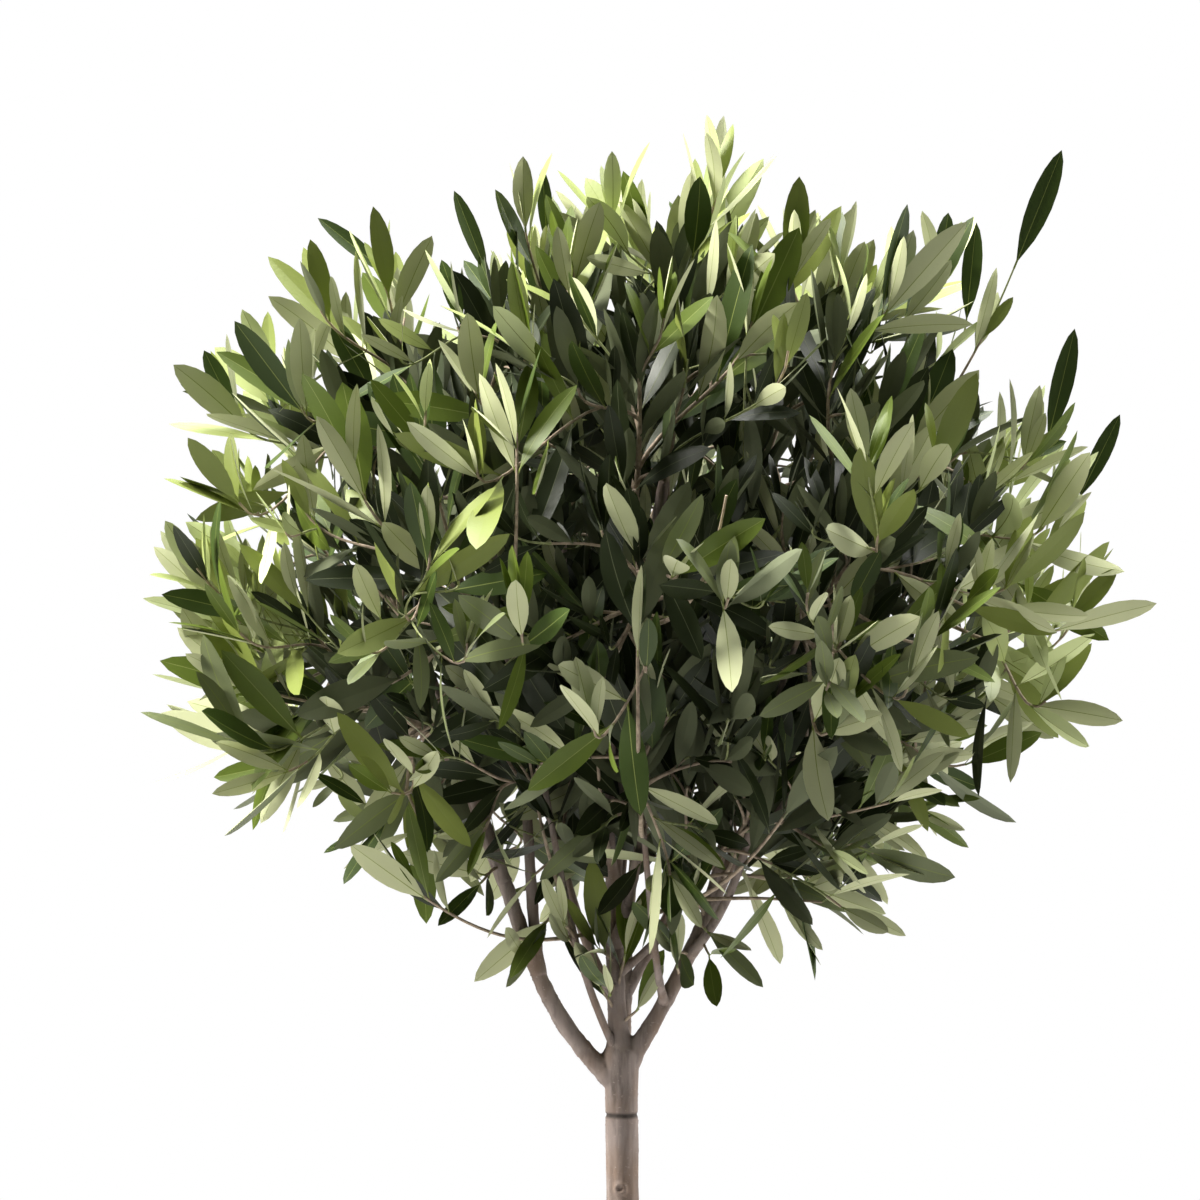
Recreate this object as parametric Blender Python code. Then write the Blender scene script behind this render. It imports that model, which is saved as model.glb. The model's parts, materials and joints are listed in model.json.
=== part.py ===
"""A standard olive tree, a round crown on a clear stem, growing in a plain clay pot.

Metres, +Z up. The origin is the middle of the pot's flat underside, and the tree is seen from -Y.
The crown is grown by a rule: boughs run from the fork to the middles of the masses of leaves, a stem
carries on from each bough's tip, shoots leave the stem for targets on the crown's outline, and pairs of
leaves sit on the shoots. Each mass keeps to the space that is nearer its own middle than any other's.
"""

import math
import random

import bmesh
import bpy
from mathutils import Vector
from mathutils.bvhtree import BVHTree

# Clear space left between solids that touch on the real plant
GAP = 0.0003

# The pot, turned in one piece, with a rolled rim and drain holes
POT_HEIGHT = 0.260
POT_FOOT_RADIUS = 0.104
POT_NECK_RADIUS = 0.138
POT_RIM_RADIUS = 0.152
POT_RIM_HEIGHT = 0.044
POT_WALL = 0.012
POT_FLOOR = 0.014
POT_EDGE = 0.003
POT_SIDES = 30
DRAIN_HOLES = 4
DRAIN_RADIUS = 0.007
DRAIN_CIRCLE = 0.048
SOIL_TOP = 0.230

# The trunk, from the flat cut at the soil to the fork
FORK_HEIGHT = 0.800
TRUNK_LEAN = -0.0118
TRUNK_SWAY = 0.0042
TRUNK_FOOT_RADIUS = 0.0128
TRUNK_TOP_RADIUS = 0.0098
FORK_SWELL = 0.0012
FORK_SWELL_LENGTH = 0.030
FLARE = 0.0125
FLARE_LENGTH = 0.020
FLARE_LOBES = 5
FLARE_LOBE_DEPTH = 0.30
TRUNK_SIDES = 12
TRUNK_RINGS = 17

# The crown, and where the middle of each mass of leaves lies: the turn about +Z from +X and the rise
# above level, both in degrees and seen from the crown's centre, and how far its furthest tips reach
CROWN_CENTRE = Vector((0.003, 0.0, 1.088))
MASSES = {
    "top": (0, 81, 0.283),
    "top_left": (172, 70, 0.268),
    "top_right": (12, 54, 0.284),
    "upper_left": (190, 40, 0.308),
    "upper_right": (348, 27, 0.294),
    "left": (170, 5, 0.324),
    "right": (10, -4, 0.312),
    "low_left": (190, -22, 0.320),
    "low_right": (350, -32, 0.262),
    "bottom_left": (214, -50, 0.240),
    "bottom_right": (322, -52, 0.300),
    "front_top": (268, 42, 0.275),
    "front": (268, 6, 0.285),
    "front_left": (222, 4, 0.285),
    "front_right": (316, 4, 0.285),
    "front_low": (266, -36, 0.268),
    "back_top": (92, 44, 0.275),
    "back": (92, 4, 0.285),
    "back_left": (136, 0, 0.285),
    "back_right": (46, 0, 0.285),
    "back_low": (90, -42, 0.262),
}
MASS_MIDDLE = 0.62
REACH_BLEND = 14.0

# Each bough: the limb it leaves, how far along it, the turn and rise of the way it sets off, in degrees,
# and its radius at the root. It ends where it enters the mass of its own name.
BOUGHS = {
    "top": ("trunk", 0.985, 180, 84, 0.0062),
    "low_left": ("trunk", 0.958, 186, 35, 0.0060),
    "right": ("trunk", 0.972, 352, 54, 0.0056),
    "back_low": ("trunk", 0.965, 88, 46, 0.0056),
    "front_left": ("trunk", 0.985, 222, 54, 0.0024),
    "bottom_left": ("top", 0.125, 196, 12, 0.0025),
    "bottom_right": ("top", 0.145, 332, 26, 0.0028),
    "front": ("top", 0.190, 296, 52, 0.0036),
    "front_low": ("right", 0.16, 262, 22, 0.0026),
    "front_top": ("top", 0.300, 262, 48, 0.0034),
    "back_top": ("top", 0.345, 95, 48, 0.0034),
    "top_right": ("top", 0.425, 10, 50, 0.0034),
    "top_left": ("top", 0.500, 178, 52, 0.0032),
    "upper_left": ("low_left", 0.34, 186, 84, 0.0038),
    "left": ("low_left", 0.58, 168, 62, 0.0034),
    "front_right": ("right", 0.26, 318, 40, 0.0032),
    "upper_right": ("right", 0.36, 350, 78, 0.0036),
    "low_right": ("right", 0.50, 342, 16, 0.0030),
    "back": ("top", 0.165, 84, 48, 0.0034),
    "back_left": ("back_low", 0.36, 150, 52, 0.0036),
    "back_right": ("back_low", 0.48, 28, 52, 0.0034),
}
BOUGH_TIP_SHARE = 0.56
LEAST_BOUGH_TIP = 0.0017
BOUGH_HANDLE = 0.38
BOUGH_LIFT = 0.45
MAIN_BOUGH_RADIUS = 0.005
BOUGH_RING_SPACING = 0.044
BOUGH_ENTRY = 0.006
LEAST_BOUGH_SHARE = 0.42
FORK_CLEARANCE_REACH = 0.060

# Stems, shoots and leaves inside a mass. A twig is square in section, and a leaf's root is one side of a
# short joint in the twig, so that each twig and its leaves are one solid.
SEED = 41
MASS_SEEDS = {
    "top": 55, "top_left": 48, "top_right": 52, "upper_left": 44, "upper_right": 43, "left": 45,
    "right": 56, "low_left": 45, "low_right": 44, "bottom_left": 45, "bottom_right": 53, "front_top": 56,
    "front": 50, "front_left": 47, "front_right": 42, "front_low": 54, "back_top": 55, "back": 44,
    "back_left": 54, "back_right": 44, "back_low": 52,
}
STEM_REACH = 0.72
STEM_TIP_RADIUS = 0.0013
SHOOT_TARGETS = 126
INNER_TARGETS = 36
INNER_DEPTH = 0.66
SHOOT_JITTER = 0.10
SHOOT_DEPTHS = (1.03, 0.98, 1.03, 0.90)
SHOOT_LIFT = 0.42
STEM_TRIES = 12
STEM_SHIFT = 0.006
SHOOT_RADII = (0.0017, 0.0011)
SHOOT_END = 0.82
TWIG_TRIES = 12
PAIRS_ON_SHOOT = 4
PAIRS_ON_STRAY = 2
PAIR_SPACING = 0.030
BARE_LENGTH = 0.014
BEND_SPACING = 0.045
JOINT = 0.0020
FIRST_SPREAD = 26.0
SPREAD_STEP = 16.0
SPREAD_TRIES = (0.0, 12.0, -6.0, 24.0)
LEAF_LENGTH = 0.090
LEAF_SIZE_TRIES = (1.0, 0.82, 0.64)
LEAF_LENGTH_RANGE = 0.12
LEAF_WIDTH_SHARE = 0.35
LEAF_WIDEST = 0.48
LEAF_DROOP = 0.10
SPACE_MARGIN = 0.0016
LIMB_MARGIN = 0.0012
LOWEST_LEAF = 0.826
WELD = 0.00001

# Long stray shoots that stand out of the outline: the mass each grows from, its turn and rise from the
# crown's centre, and its reach
STRAYS = {
    "upper_right_high": ("upper_right", 352, 44, 0.368),
    "upper_right_side": ("upper_right", 356, 30, 0.312),
    "top_left_thin": ("top_left", 178, 64, 0.276),
}

# Finishes: base colour, roughness and metallic value
FINISHES = {
    "pot_clay": ((0.52, 0.23, 0.13), 0.85, 0.0),
    "soil": ((0.055, 0.037, 0.026), 0.95, 0.0),
    "bark": ((0.33, 0.28, 0.24), 0.80, 0.0),
    "foliage": ((0.105, 0.150, 0.045), 0.55, 0.0),
}

UP = Vector((0.0, 0.0, 1.0))
GOLDEN_TURN = math.pi * (3.0 - math.sqrt(5.0))


def clear_scene():
    for old in list(bpy.data.objects):
        bpy.data.objects.remove(old, do_unlink=True)


def finish(name):
    """The Principled material of that name, made the first time it is asked for."""
    material = bpy.data.materials.get(name)
    if material:
        return material
    colour, roughness, metallic = FINISHES[name]
    material = bpy.data.materials.new(name)
    material.use_nodes = True
    shader = material.node_tree.nodes["Principled BSDF"]
    shader.inputs["Base Color"].default_value = (*colour, 1.0)
    shader.inputs["Roughness"].default_value = roughness
    shader.inputs["Metallic"].default_value = metallic
    return material


def add_object(name, points, faces, material, collection=None):
    """A mesh object with its faces turned outwards."""
    mesh = bpy.data.meshes.new(name)
    mesh.from_pydata([tuple(p) for p in points], [], faces)
    shape = bmesh.new()
    shape.from_mesh(mesh)
    bmesh.ops.recalc_face_normals(shape, faces=shape.faces)
    if shape.calc_volume(signed=True) < 0:
        bmesh.ops.reverse_faces(shape, faces=shape.faces)
    shape.to_mesh(mesh)
    shape.free()
    if material:
        mesh.materials.append(finish(material))
    made = bpy.data.objects.new(name, mesh)
    (collection or bpy.context.scene.collection).objects.link(made)
    return made


def hide_helper(helper):
    helper.hide_render = True
    helper.display_type = "WIRE"


def direction(turn, rise):
    """The unit vector at a turn about +Z from +X and a rise above level, in degrees."""
    turn, rise = math.radians(turn), math.radians(rise)
    level = math.cos(rise)
    return Vector((level * math.cos(turn), level * math.sin(turn), math.sin(rise)))


def bezier(a, b, c, d, t):
    s = 1.0 - t
    return a * (s**3) + b * (3 * s * s * t) + c * (3 * s * t * t) + d * (t**3)


def path_length(path):
    return sum((b - a).length for a, b in zip(path, path[1:]))


def path_point(path, share):
    """The point and the direction at a share of the length of a line through some points."""
    left = share * path_length(path)
    for a, b in zip(path, path[1:]):
        step = (b - a).length
        if left <= step:
            break
        left -= step
    return a.lerp(b, min(left / step, 1.0)), (b - a).normalized()


def ring_frames(path, first=None, joints=()):
    """A direction and two directions across it for each point, turned as little as possible. The two rings
    of a joint stand square to it."""
    along = [(path[min(i + 1, len(path) - 1)] - path[max(i - 1, 0)]).normalized() for i in range(len(path))]
    along[0] = first or along[0]
    for i in joints:
        along[i] = along[i + 1] = (path[i + 1] - path[i]).normalized()
    side = along[0].orthogonal().normalized()
    frames = []
    for i, way in enumerate(along):
        if i:
            side = along[i - 1].rotation_difference(way) @ side
        side = (side - way * side.dot(way)).normalized()
        frames.append((way, side, way.cross(side)))
    return frames


def tube_mesh(path, radii, sides):
    """Points and faces of a closed tube through the path, with a flat cap at each end."""
    points, faces = [], []
    for centre, radius, (_, side, other) in zip(path, radii, ring_frames(path)):
        for k in range(sides):
            turn = 2.0 * math.pi * k / sides
            points.append(centre + (side * math.cos(turn) + other * math.sin(turn)) * radius)
    for i in range(len(path) - 1):
        for k in range(sides):
            a, b = i * sides + k, i * sides + (k + 1) % sides
            faces.append((a, b, b + sides, a + sides))
    faces.append(tuple(range(sides)))
    faces.append(tuple(range((len(path) - 1) * sides, len(path) * sides)))
    return points, faces


# The pot and its soil


def turned_mesh(profile, sides):
    """Points and faces of a profile of (radius, height) turned about +Z; a zero radius closes an end."""
    points, rings, faces = [], [], []
    for radius, height in profile:
        count = sides if radius > 0 else 1
        rings.append([len(points) + k for k in range(count)])
        for k in range(count):
            turn = 2.0 * math.pi * k / sides
            points.append(Vector((radius * math.cos(turn), radius * math.sin(turn), height)))
    for low, high in zip(rings, rings[1:]):
        for k in range(sides):
            corners = [low[k % len(low)], low[(k + 1) % len(low)], high[(k + 1) % len(high)], high[k % len(high)]]
            faces.append(tuple(dict.fromkeys(corners)))
    return points, faces


def inner_radius(height):
    """The radius of the pot's inside wall at a height."""
    rise = (height - POT_FLOOR) / (POT_HEIGHT - POT_FLOOR)
    foot, top = POT_FOOT_RADIUS - POT_WALL, POT_NECK_RADIUS - POT_WALL + 0.003
    return foot + (top - foot) * rise


def make_pot():
    rim_foot = POT_HEIGHT - POT_RIM_HEIGHT
    profile = [
        (0.0, 0.0),
        (POT_FOOT_RADIUS - POT_EDGE, 0.0),
        (POT_FOOT_RADIUS, POT_EDGE),
        (POT_NECK_RADIUS, rim_foot),
        (POT_RIM_RADIUS - POT_EDGE, rim_foot + POT_EDGE),
        (POT_RIM_RADIUS, rim_foot + 2 * POT_EDGE),
        (POT_RIM_RADIUS + 0.001, POT_HEIGHT - 2 * POT_EDGE),
        (POT_RIM_RADIUS - POT_EDGE, POT_HEIGHT),
        (inner_radius(POT_HEIGHT) + POT_EDGE, POT_HEIGHT),
        (inner_radius(POT_HEIGHT), POT_HEIGHT - POT_EDGE),
        (inner_radius(POT_FLOOR), POT_FLOOR),
        (0.0, POT_FLOOR),
    ]
    pot = add_object("pot", *turned_mesh(profile, POT_SIDES), "pot_clay")
    for k in range(DRAIN_HOLES):
        turn = 2.0 * math.pi * (k + 0.5) / DRAIN_HOLES
        middle = Vector((DRAIN_CIRCLE * math.cos(turn), DRAIN_CIRCLE * math.sin(turn), 0.0))
        ends = [middle - UP * POT_FLOOR, middle + UP * 2 * POT_FLOOR]
        cutter = add_object(f"drain_cutter_{k}", *tube_mesh(ends, [DRAIN_RADIUS] * 2, 10), None)
        hide_helper(cutter)
        drill = pot.modifiers.new(f"drain_{k}", "BOOLEAN")
        drill.operation = "DIFFERENCE"
        drill.object = cutter
    return pot


def make_soil():
    top_radius = inner_radius(SOIL_TOP) - GAP
    profile = [
        (0.0, POT_FLOOR + GAP),
        (inner_radius(POT_FLOOR) - 2 * GAP, POT_FLOOR + GAP),
        (top_radius, SOIL_TOP),
        (0.0, SOIL_TOP),
    ]
    return add_object("potting_soil", *turned_mesh(profile, POT_SIDES), "soil")


# The trunk and the boughs


def trunk_centre(height):
    """The middle of the trunk at a height: a lean to the left that grows upwards, and a slight sway."""
    share = (height - SOIL_TOP) / (FORK_HEIGHT - SOIL_TOP)
    lean = TRUNK_LEAN * share**1.6
    return Vector((
        lean + TRUNK_SWAY * math.sin(math.pi * share) * math.cos(math.pi * share),
        TRUNK_SWAY * math.sin(math.pi * share),
        height,
    ))


def trunk_radius(height):
    share = (height - SOIL_TOP) / (FORK_HEIGHT - SOIL_TOP)
    shaft = TRUNK_FOOT_RADIUS + (TRUNK_TOP_RADIUS - TRUNK_FOOT_RADIUS) * share
    return shaft + FORK_SWELL * math.exp(-(((FORK_HEIGHT - height) / FORK_SWELL_LENGTH) ** 2))


def trunk_flare(height):
    return FLARE * math.exp(-(height - SOIL_TOP) / FLARE_LENGTH)


def trunk_path(count=40):
    foot = SOIL_TOP + GAP
    return [trunk_centre(foot + (FORK_HEIGHT - foot) * k / (count - 1)) for k in range(count)]


def trunk_mesh(extra):
    """The trunk's points and faces, grown by extra all round and at its rounded top."""
    foot, points, faces = SOIL_TOP + GAP, [], []
    heights = [foot + (FORK_HEIGHT - foot) * (k / (TRUNK_RINGS - 1)) ** 1.5 for k in range(TRUNK_RINGS)]
    shoulders = ((-0.0035, 1.0), (-0.0010, 0.92), (0.0, 0.78))
    rings = [(h, 1.0) for h in heights[:-1] if h < FORK_HEIGHT - 0.006]
    rings += [(FORK_HEIGHT + drop, share) for drop, share in shoulders]
    for k, (height, share) in enumerate(rings):
        centre = trunk_centre(height)
        level = height + (extra if k == len(rings) - 1 else 0.0)
        for j in range(TRUNK_SIDES):
            turn = 2.0 * math.pi * j / TRUNK_SIDES
            lobe = 1.0 + FLARE_LOBE_DEPTH * math.cos(FLARE_LOBES * turn + 0.7)
            radius = trunk_radius(height) * share + trunk_flare(height) * lobe + extra
            points.append(Vector((centre.x + radius * math.cos(turn), centre.y + radius * math.sin(turn), level)))
    for i in range(len(rings) - 1):
        for j in range(TRUNK_SIDES):
            a, b = i * TRUNK_SIDES + j, i * TRUNK_SIDES + (j + 1) % TRUNK_SIDES
            faces.append((a, b, b + TRUNK_SIDES, a + TRUNK_SIDES))
    faces.append(tuple(range(TRUNK_SIDES)))
    faces.append(tuple(range(len(points) - TRUNK_SIDES, len(points))))
    return points, faces


def mass_middle(name):
    turn, rise, reach = MASSES[name]
    return CROWN_CENTRE + direction(turn, rise) * (reach * MASS_MIDDLE)


MIDDLES = {name: mass_middle(name) for name in MASSES}


def inside_space(point, name, margin):
    """True if the point is nearer this mass's middle than any other's, by the margin."""
    own = MIDDLES[name]
    for other, middle in MIDDLES.items():
        if other == name:
            continue
        apart = middle - own
        if (point - own).dot(apart) / apart.length > apart.length / 2 - margin:
            return False
    return True


def bough_route(name, parent_path):
    """Evenly spaced points from the parent's middle line to the middle of the mass."""
    _, where, turn, rise, _ = BOUGHS[name]
    root, _ = path_point(parent_path, where)
    end = MIDDLES[name]
    handle = (end - root).length * BOUGH_HANDLE
    arrive = ((end - CROWN_CENTRE).normalized() + UP * BOUGH_LIFT).normalized()
    near, far = root + direction(turn, rise) * handle, end - arrive * handle
    return [bezier(root, near, far, end, k / 60) for k in range(61)]


def limb_radius(root_radius, share):
    tip = max(root_radius * BOUGH_TIP_SHARE, LEAST_BOUGH_TIP)
    return tip + (root_radius - tip) * (1.0 - share) ** 1.2


def thinned(path, spacing):
    """The path through fewer of its points, about a spacing apart, with both ends kept."""
    count = max(3, round(path_length(path) / spacing))
    return [path[round(k * (len(path) - 1) / count)] for k in range(count + 1)]


def plan_limbs():
    """For each limb its path to its tip and its radii, and for a bough the rest of its route."""
    limbs = {"trunk": {"path": trunk_path()}}
    for name, (parent, _, _, _, root_radius) in BOUGHS.items():
        route = bough_route(name, limbs[parent]["path"])
        entry = len(route) - 1
        least = round(LEAST_BOUGH_SHARE * entry)
        while entry > least and inside_space(route[entry - 1], name, BOUGH_ENTRY):
            entry -= 1
        path = thinned(route[: entry + 1], BOUGH_RING_SPACING)
        radii = [limb_radius(root_radius, k / (len(path) - 1)) for k in range(len(path))]
        limbs[name] = {"path": path, "radii": radii, "rest": route[entry:]}
    return limbs


def bough_mesh(limb, extra):
    path, radii = [p.copy() for p in limb["path"]], [radius + extra for radius in limb["radii"]]
    path[0] -= (path[1] - path[0]).normalized() * extra
    path[-1] += (path[-1] - path[-2]).normalized() * extra
    return tube_mesh(path, radii, 8 if limb["radii"][0] > MAIN_BOUGH_RADIUS else 6)


def make_limbs(limbs):
    """The trunk and the boughs, each cut back at its root from the limb it leaves and from its neighbours."""
    add_object("trunk", *trunk_mesh(0.0), "bark").data.shade_smooth()
    cutters = {"trunk": add_object("trunk_cutter", *trunk_mesh(GAP), None)}
    for name in BOUGHS:
        cutters[name] = add_object(f"bough_{name}_cutter", *bough_mesh(limbs[name], GAP), None)
    for cutter in cutters.values():
        hide_helper(cutter)
    done = []
    for name, (parent, *_) in BOUGHS.items():
        bough = add_object(f"bough_{name}", *bough_mesh(limbs[name], 0.0), "bark")
        root = limbs[name]["path"][0]
        near = [n for n in done if (limbs[n]["path"][0] - root).length < FORK_CLEARANCE_REACH and n != parent]
        for other in [parent, *near]:
            notch = bough.modifiers.new(f"clear_of_{other}", "BOOLEAN")
            notch.operation = "DIFFERENCE"
            notch.object = cutters[other]
        done.append(name)


# The masses of leaves


def crown_reach(way):
    """How far the outline lies from the crown's centre in a direction, blended from the masses' reaches."""
    total = weight = 0.0
    for turn, rise, reach in MASSES.values():
        near = math.exp(REACH_BLEND * (way.dot(direction(turn, rise)) - 1.0))
        total += near * reach
        weight += near
    return total / weight


def nearest_mass(point):
    return min(MIDDLES, key=lambda name: (MIDDLES[name] - point).length)


def shoot_targets():
    """The shoots' tips for each mass: golden spirals over the outline and inside it, then the strays."""
    targets = {name: [] for name in MASSES}
    for k in range(SHOOT_TARGETS + INNER_TARGETS):
        dice = random.Random(SEED * 1000 + k)
        inner = k >= SHOOT_TARGETS
        number, count = (k - SHOOT_TARGETS, INNER_TARGETS) if inner else (k, SHOOT_TARGETS)
        height = 1.0 - 2.0 * (number + 0.5) / count
        level, turn = math.sqrt(1.0 - height * height), number * GOLDEN_TURN
        shake = Vector([dice.uniform(-SHOOT_JITTER, SHOOT_JITTER) for _ in range(3)])
        way = (Vector((level * math.cos(turn), level * math.sin(turn), height)) + shake).normalized()
        depth = INNER_DEPTH if inner else SHOOT_DEPTHS[number % len(SHOOT_DEPTHS)]
        tip = CROWN_CENTRE + way * (crown_reach(way) * depth)
        targets[nearest_mass(tip)].append((tip, way, PAIRS_ON_SHOOT))
    for mass, turn, rise, reach in STRAYS.values():
        way = direction(turn, rise)
        targets[mass].append((CROWN_CENTRE + way * reach, way, PAIRS_ON_STRAY))
    return targets


def stem_path(limb, name, shift):
    """The way that carries on from a bough's tip, and a stem from there through the middle of its mass."""
    onward = (limb["path"][-1] - limb["path"][-2]).normalized()
    way = (MIDDLES[name] - CROWN_CENTRE).normalized()
    end = CROWN_CENTRE + way * (crown_reach(way) * STEM_REACH) + shift
    root = limb["path"][-1] + onward * GAP
    handle = (end - root).length * 0.4
    finish_way = (way + UP * 0.4).normalized()
    stem = [bezier(root, root + onward * handle, end - finish_way * handle, end, k / 24) for k in range(25)]
    return onward, stem


def shoot_path(stem, name, target, roll):
    """A shoot from a place on the stem to a leaf's length short of the target, kept to its mass's space."""
    tip, way, _ = target
    finish_way = (way + UP * SHOOT_LIFT).normalized()
    end = tip - finish_way * (LEAF_LENGTH * SHOOT_END)
    while not inside_space(end, name, 6 * SPACE_MARGIN) and (end - MIDDLES[name]).length > 0.01:
        end = end.lerp(MIDDLES[name], 0.1)
    length = (stem[-1] - stem[0]).length
    axis = (stem[-1] - stem[0]) / length
    ahead = (end - stem[0]).dot(axis)
    aside = ((end - stem[0]) - axis * ahead).length
    share = min(max((ahead - aside * (0.6 + 0.6 * roll)) / length, 0.10 + 0.1 * roll), 0.94)
    start, onward = path_point(stem, share)
    handle = (end - start).length * 0.38
    leave = (onward * 0.6 + (end - start).normalized() * (0.8 + 0.3 * roll)).normalized()
    return [bezier(start, start + leave * handle, end - finish_way * handle, end, k / 12) for k in range(13)]


def mesh_tree(points, faces):
    return BVHTree.FromPolygons(points, faces, epsilon=0.0)


def limb_trees(limbs):
    """Search trees of the trunk and the boughs, a little fuller than they are."""
    trees = {"trunk": mesh_tree(*trunk_mesh(LIMB_MARGIN))}
    trees.update({name: mesh_tree(*bough_mesh(limbs[name], LIMB_MARGIN)) for name in BOUGHS})
    return trees


def grown_leaf(corners, heart, along, spread, length, droop):
    """The tip and the two widest points of a leaf that grows out of one side of a joint."""
    root = sum(corners, Vector()) / 4
    outward = (root - heart).normalized()
    across = (corners[2] - corners[1]).normalized()
    way = along * math.cos(spread) + outward * math.sin(spread)
    tip = root + way * length - along * (droop * length)
    middle = root + way * (length * LEAF_WIDEST)
    half = across * (length * LEAF_WIDTH_SHARE / 2)
    return [tip, middle - half, middle + half]


LEAF_FACES = ((1, 5, 4), (1, 4, 2), (2, 4, 6), (0, 4, 5), (0, 3, 4), (3, 6, 4), (0, 1, 5), (2, 6, 3))


def joint_places(length, pairs):
    """How far from its root a twig has its rings, and the pair of leaves on the joint that a ring starts."""
    joints = [length - JOINT - PAIR_SPACING * k for k in range(pairs)]
    joints = [place for place in reversed(joints) if place > BARE_LENGTH]
    bends = math.ceil(joints[0] / BEND_SPACING)
    places, starts = [joints[0] * k / bends for k in range(bends)], {}
    for number, place in enumerate(joints):
        starts[len(places)] = len(joints) - 1 - number
        places += [place, place + JOINT]
    return places, starts


def grow_twig(path, radii, pairs, twist, dice, fits, first=None):
    """A twig and its leaves as the points and faces of one solid, how much leaf it has and its middle line."""
    length = path_length(path)
    places, starts = joint_places(length, pairs)
    centres = [path_point(path, place / length)[0] for place in places]
    frames = ring_frames(centres, first, starts)
    rings = []
    for centre, place, (_, side, other) in zip(centres, places, frames):
        radius = radii[0] + (radii[1] - radii[0]) * place / length
        turns = [twist + math.pi / 2 * k for k in range(4)]
        rings.append([centre + (side * math.cos(turn) + other * math.sin(turn)) * radius for turn in turns])
    leaves = {}
    for i, pair in starts.items():
        heart = (centres[i] + centres[i + 1]) / 2
        for k in (pair % 2, pair % 2 + 2):
            corners = [rings[i][k], rings[i + 1][k], rings[i + 1][(k + 1) % 4], rings[i][(k + 1) % 4]]
            leaf = fitted_leaf(corners, heart, frames[i][0], pair, dice, fits)
            if leaf:
                leaves[i, k] = leaf
    bare = [i for i in starts if not any((i, k) in leaves for k in range(4))]
    kept = [i for i in range(len(rings)) if i not in bare and i - 1 not in bare]
    points = [point for i in kept for point in rings[i]]
    faces = [(0, 1, 2, 3), tuple(reversed(range(len(points) - 4, len(points))))]
    for row, i in enumerate(kept[:-1]):
        for k in range(4):
            low, high = 4 * row, 4 * row + 4
            side = (low + k, high + k, high + (k + 1) % 4, low + (k + 1) % 4)
            if (i, k) in leaves:
                ids = [*side, len(points), len(points) + 1, len(points) + 2]
                points += leaves[i, k]
                faces += [tuple(ids[n] for n in face) for face in LEAF_FACES]
            else:
                faces.append(tuple(reversed(side)))
    leafage = sum((leaf[1] - leaf[2]).length for leaf in leaves.values())
    return (points, faces), leafage, [centres[i] for i in kept]


def fitted_leaf(corners, heart, along, pair, dice, fits):
    """The outer points of the largest leaf that fits at this side of a joint, or None."""
    size = LEAF_LENGTH * (1.0 + dice.uniform(-LEAF_LENGTH_RANGE, LEAF_LENGTH_RANGE))
    spread = FIRST_SPREAD + SPREAD_STEP * pair + dice.uniform(-5.0, 5.0)
    for share in LEAF_SIZE_TRIES:
        for change in SPREAD_TRIES:
            wide = math.radians(spread + change)
            leaf = grown_leaf(corners, heart, along, wide, size * share, LEAF_DROOP * (0.5 + 0.5 * pair))
            if fits([*corners, *leaf]):
                return leaf
    return None


def grow_mass(name, limb, targets, limb_search, seed):
    """The stem with its shoots and their leaves, as (points, faces) of closed pieces."""
    dice = random.Random(seed * 77 + list(MASSES).index(name))
    grown = []

    def leaf_fits(points):
        if any(p.z < LOWEST_LEAF or not inside_space(p, name, SPACE_MARGIN) for p in points[4:]):
            return False
        leaf = mesh_tree(points, LEAF_FACES)
        return not any(leaf.overlap(other) for other in [*limb_search.values(), *grown])

    def crossings(path, others):
        twig = mesh_tree(*tube_mesh(path, [SHOOT_RADII[0]] * len(path), 4))
        return sum(1 for other in others if twig.overlap(other))

    others = [tree for other, tree in limb_search.items() if other != name]
    for number in range(STEM_TRIES):
        shift = Vector([dice.uniform(-1.0, 1.0) for _ in range(3)]) * STEM_SHIFT * number
        onward, path = stem_path(limb, name, shift)
        if not crossings(path, others):
            break
    radii = (limb["radii"][-1], STEM_TIP_RADIUS)
    first, _, stem = grow_twig(path, radii, 2, dice.uniform(0.0, math.pi), dice, leaf_fits, onward)
    pieces = [first]
    grown.append(mesh_tree(*first))
    for target in targets:
        best, most = None, -1.0
        for _ in range(TWIG_TRIES):
            path = shoot_path(stem, name, target, dice.random())
            if path_length(path) < 2 * BARE_LENGTH or crossings(path[1:], limb_search.values()):
                continue
            twist = dice.uniform(0.0, math.pi)
            twig, leafage, _ = grow_twig(path, SHOOT_RADII, target[2], twist, dice, leaf_fits)
            leafage -= LEAF_LENGTH * LEAF_WIDTH_SHARE * crossings(path[1:], grown[1:])
            if leafage > most:
                best, most = twig, leafage
        if best and most > 0:
            pieces.append(best)
            grown.append(mesh_tree(*best))
    return pieces


def drop_crumbs(mesh):
    """Keep the mesh's largest connected part, without the specks and pockets that crossing twigs leave."""
    shape = bmesh.new()
    shape.from_mesh(mesh)
    left, parts = set(shape.faces), []
    while left:
        front = [left.pop()]
        part = list(front)
        while front:
            beside = {face for edge in front.pop().edges for face in edge.link_faces} & left
            left -= beside
            part += beside
            front += beside
        parts.append(part)
    parts.sort(key=len)
    bmesh.ops.delete(shape, geom=[face for part in parts[:-1] for face in part], context="FACES")
    bmesh.ops.remove_doubles(shape, verts=shape.verts, dist=WELD)
    bmesh.ops.dissolve_degenerate(shape, edges=shape.edges, dist=WELD)
    bmesh.ops.triangulate(shape, faces=shape.faces)
    shape.to_mesh(mesh)
    shape.free()


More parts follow.
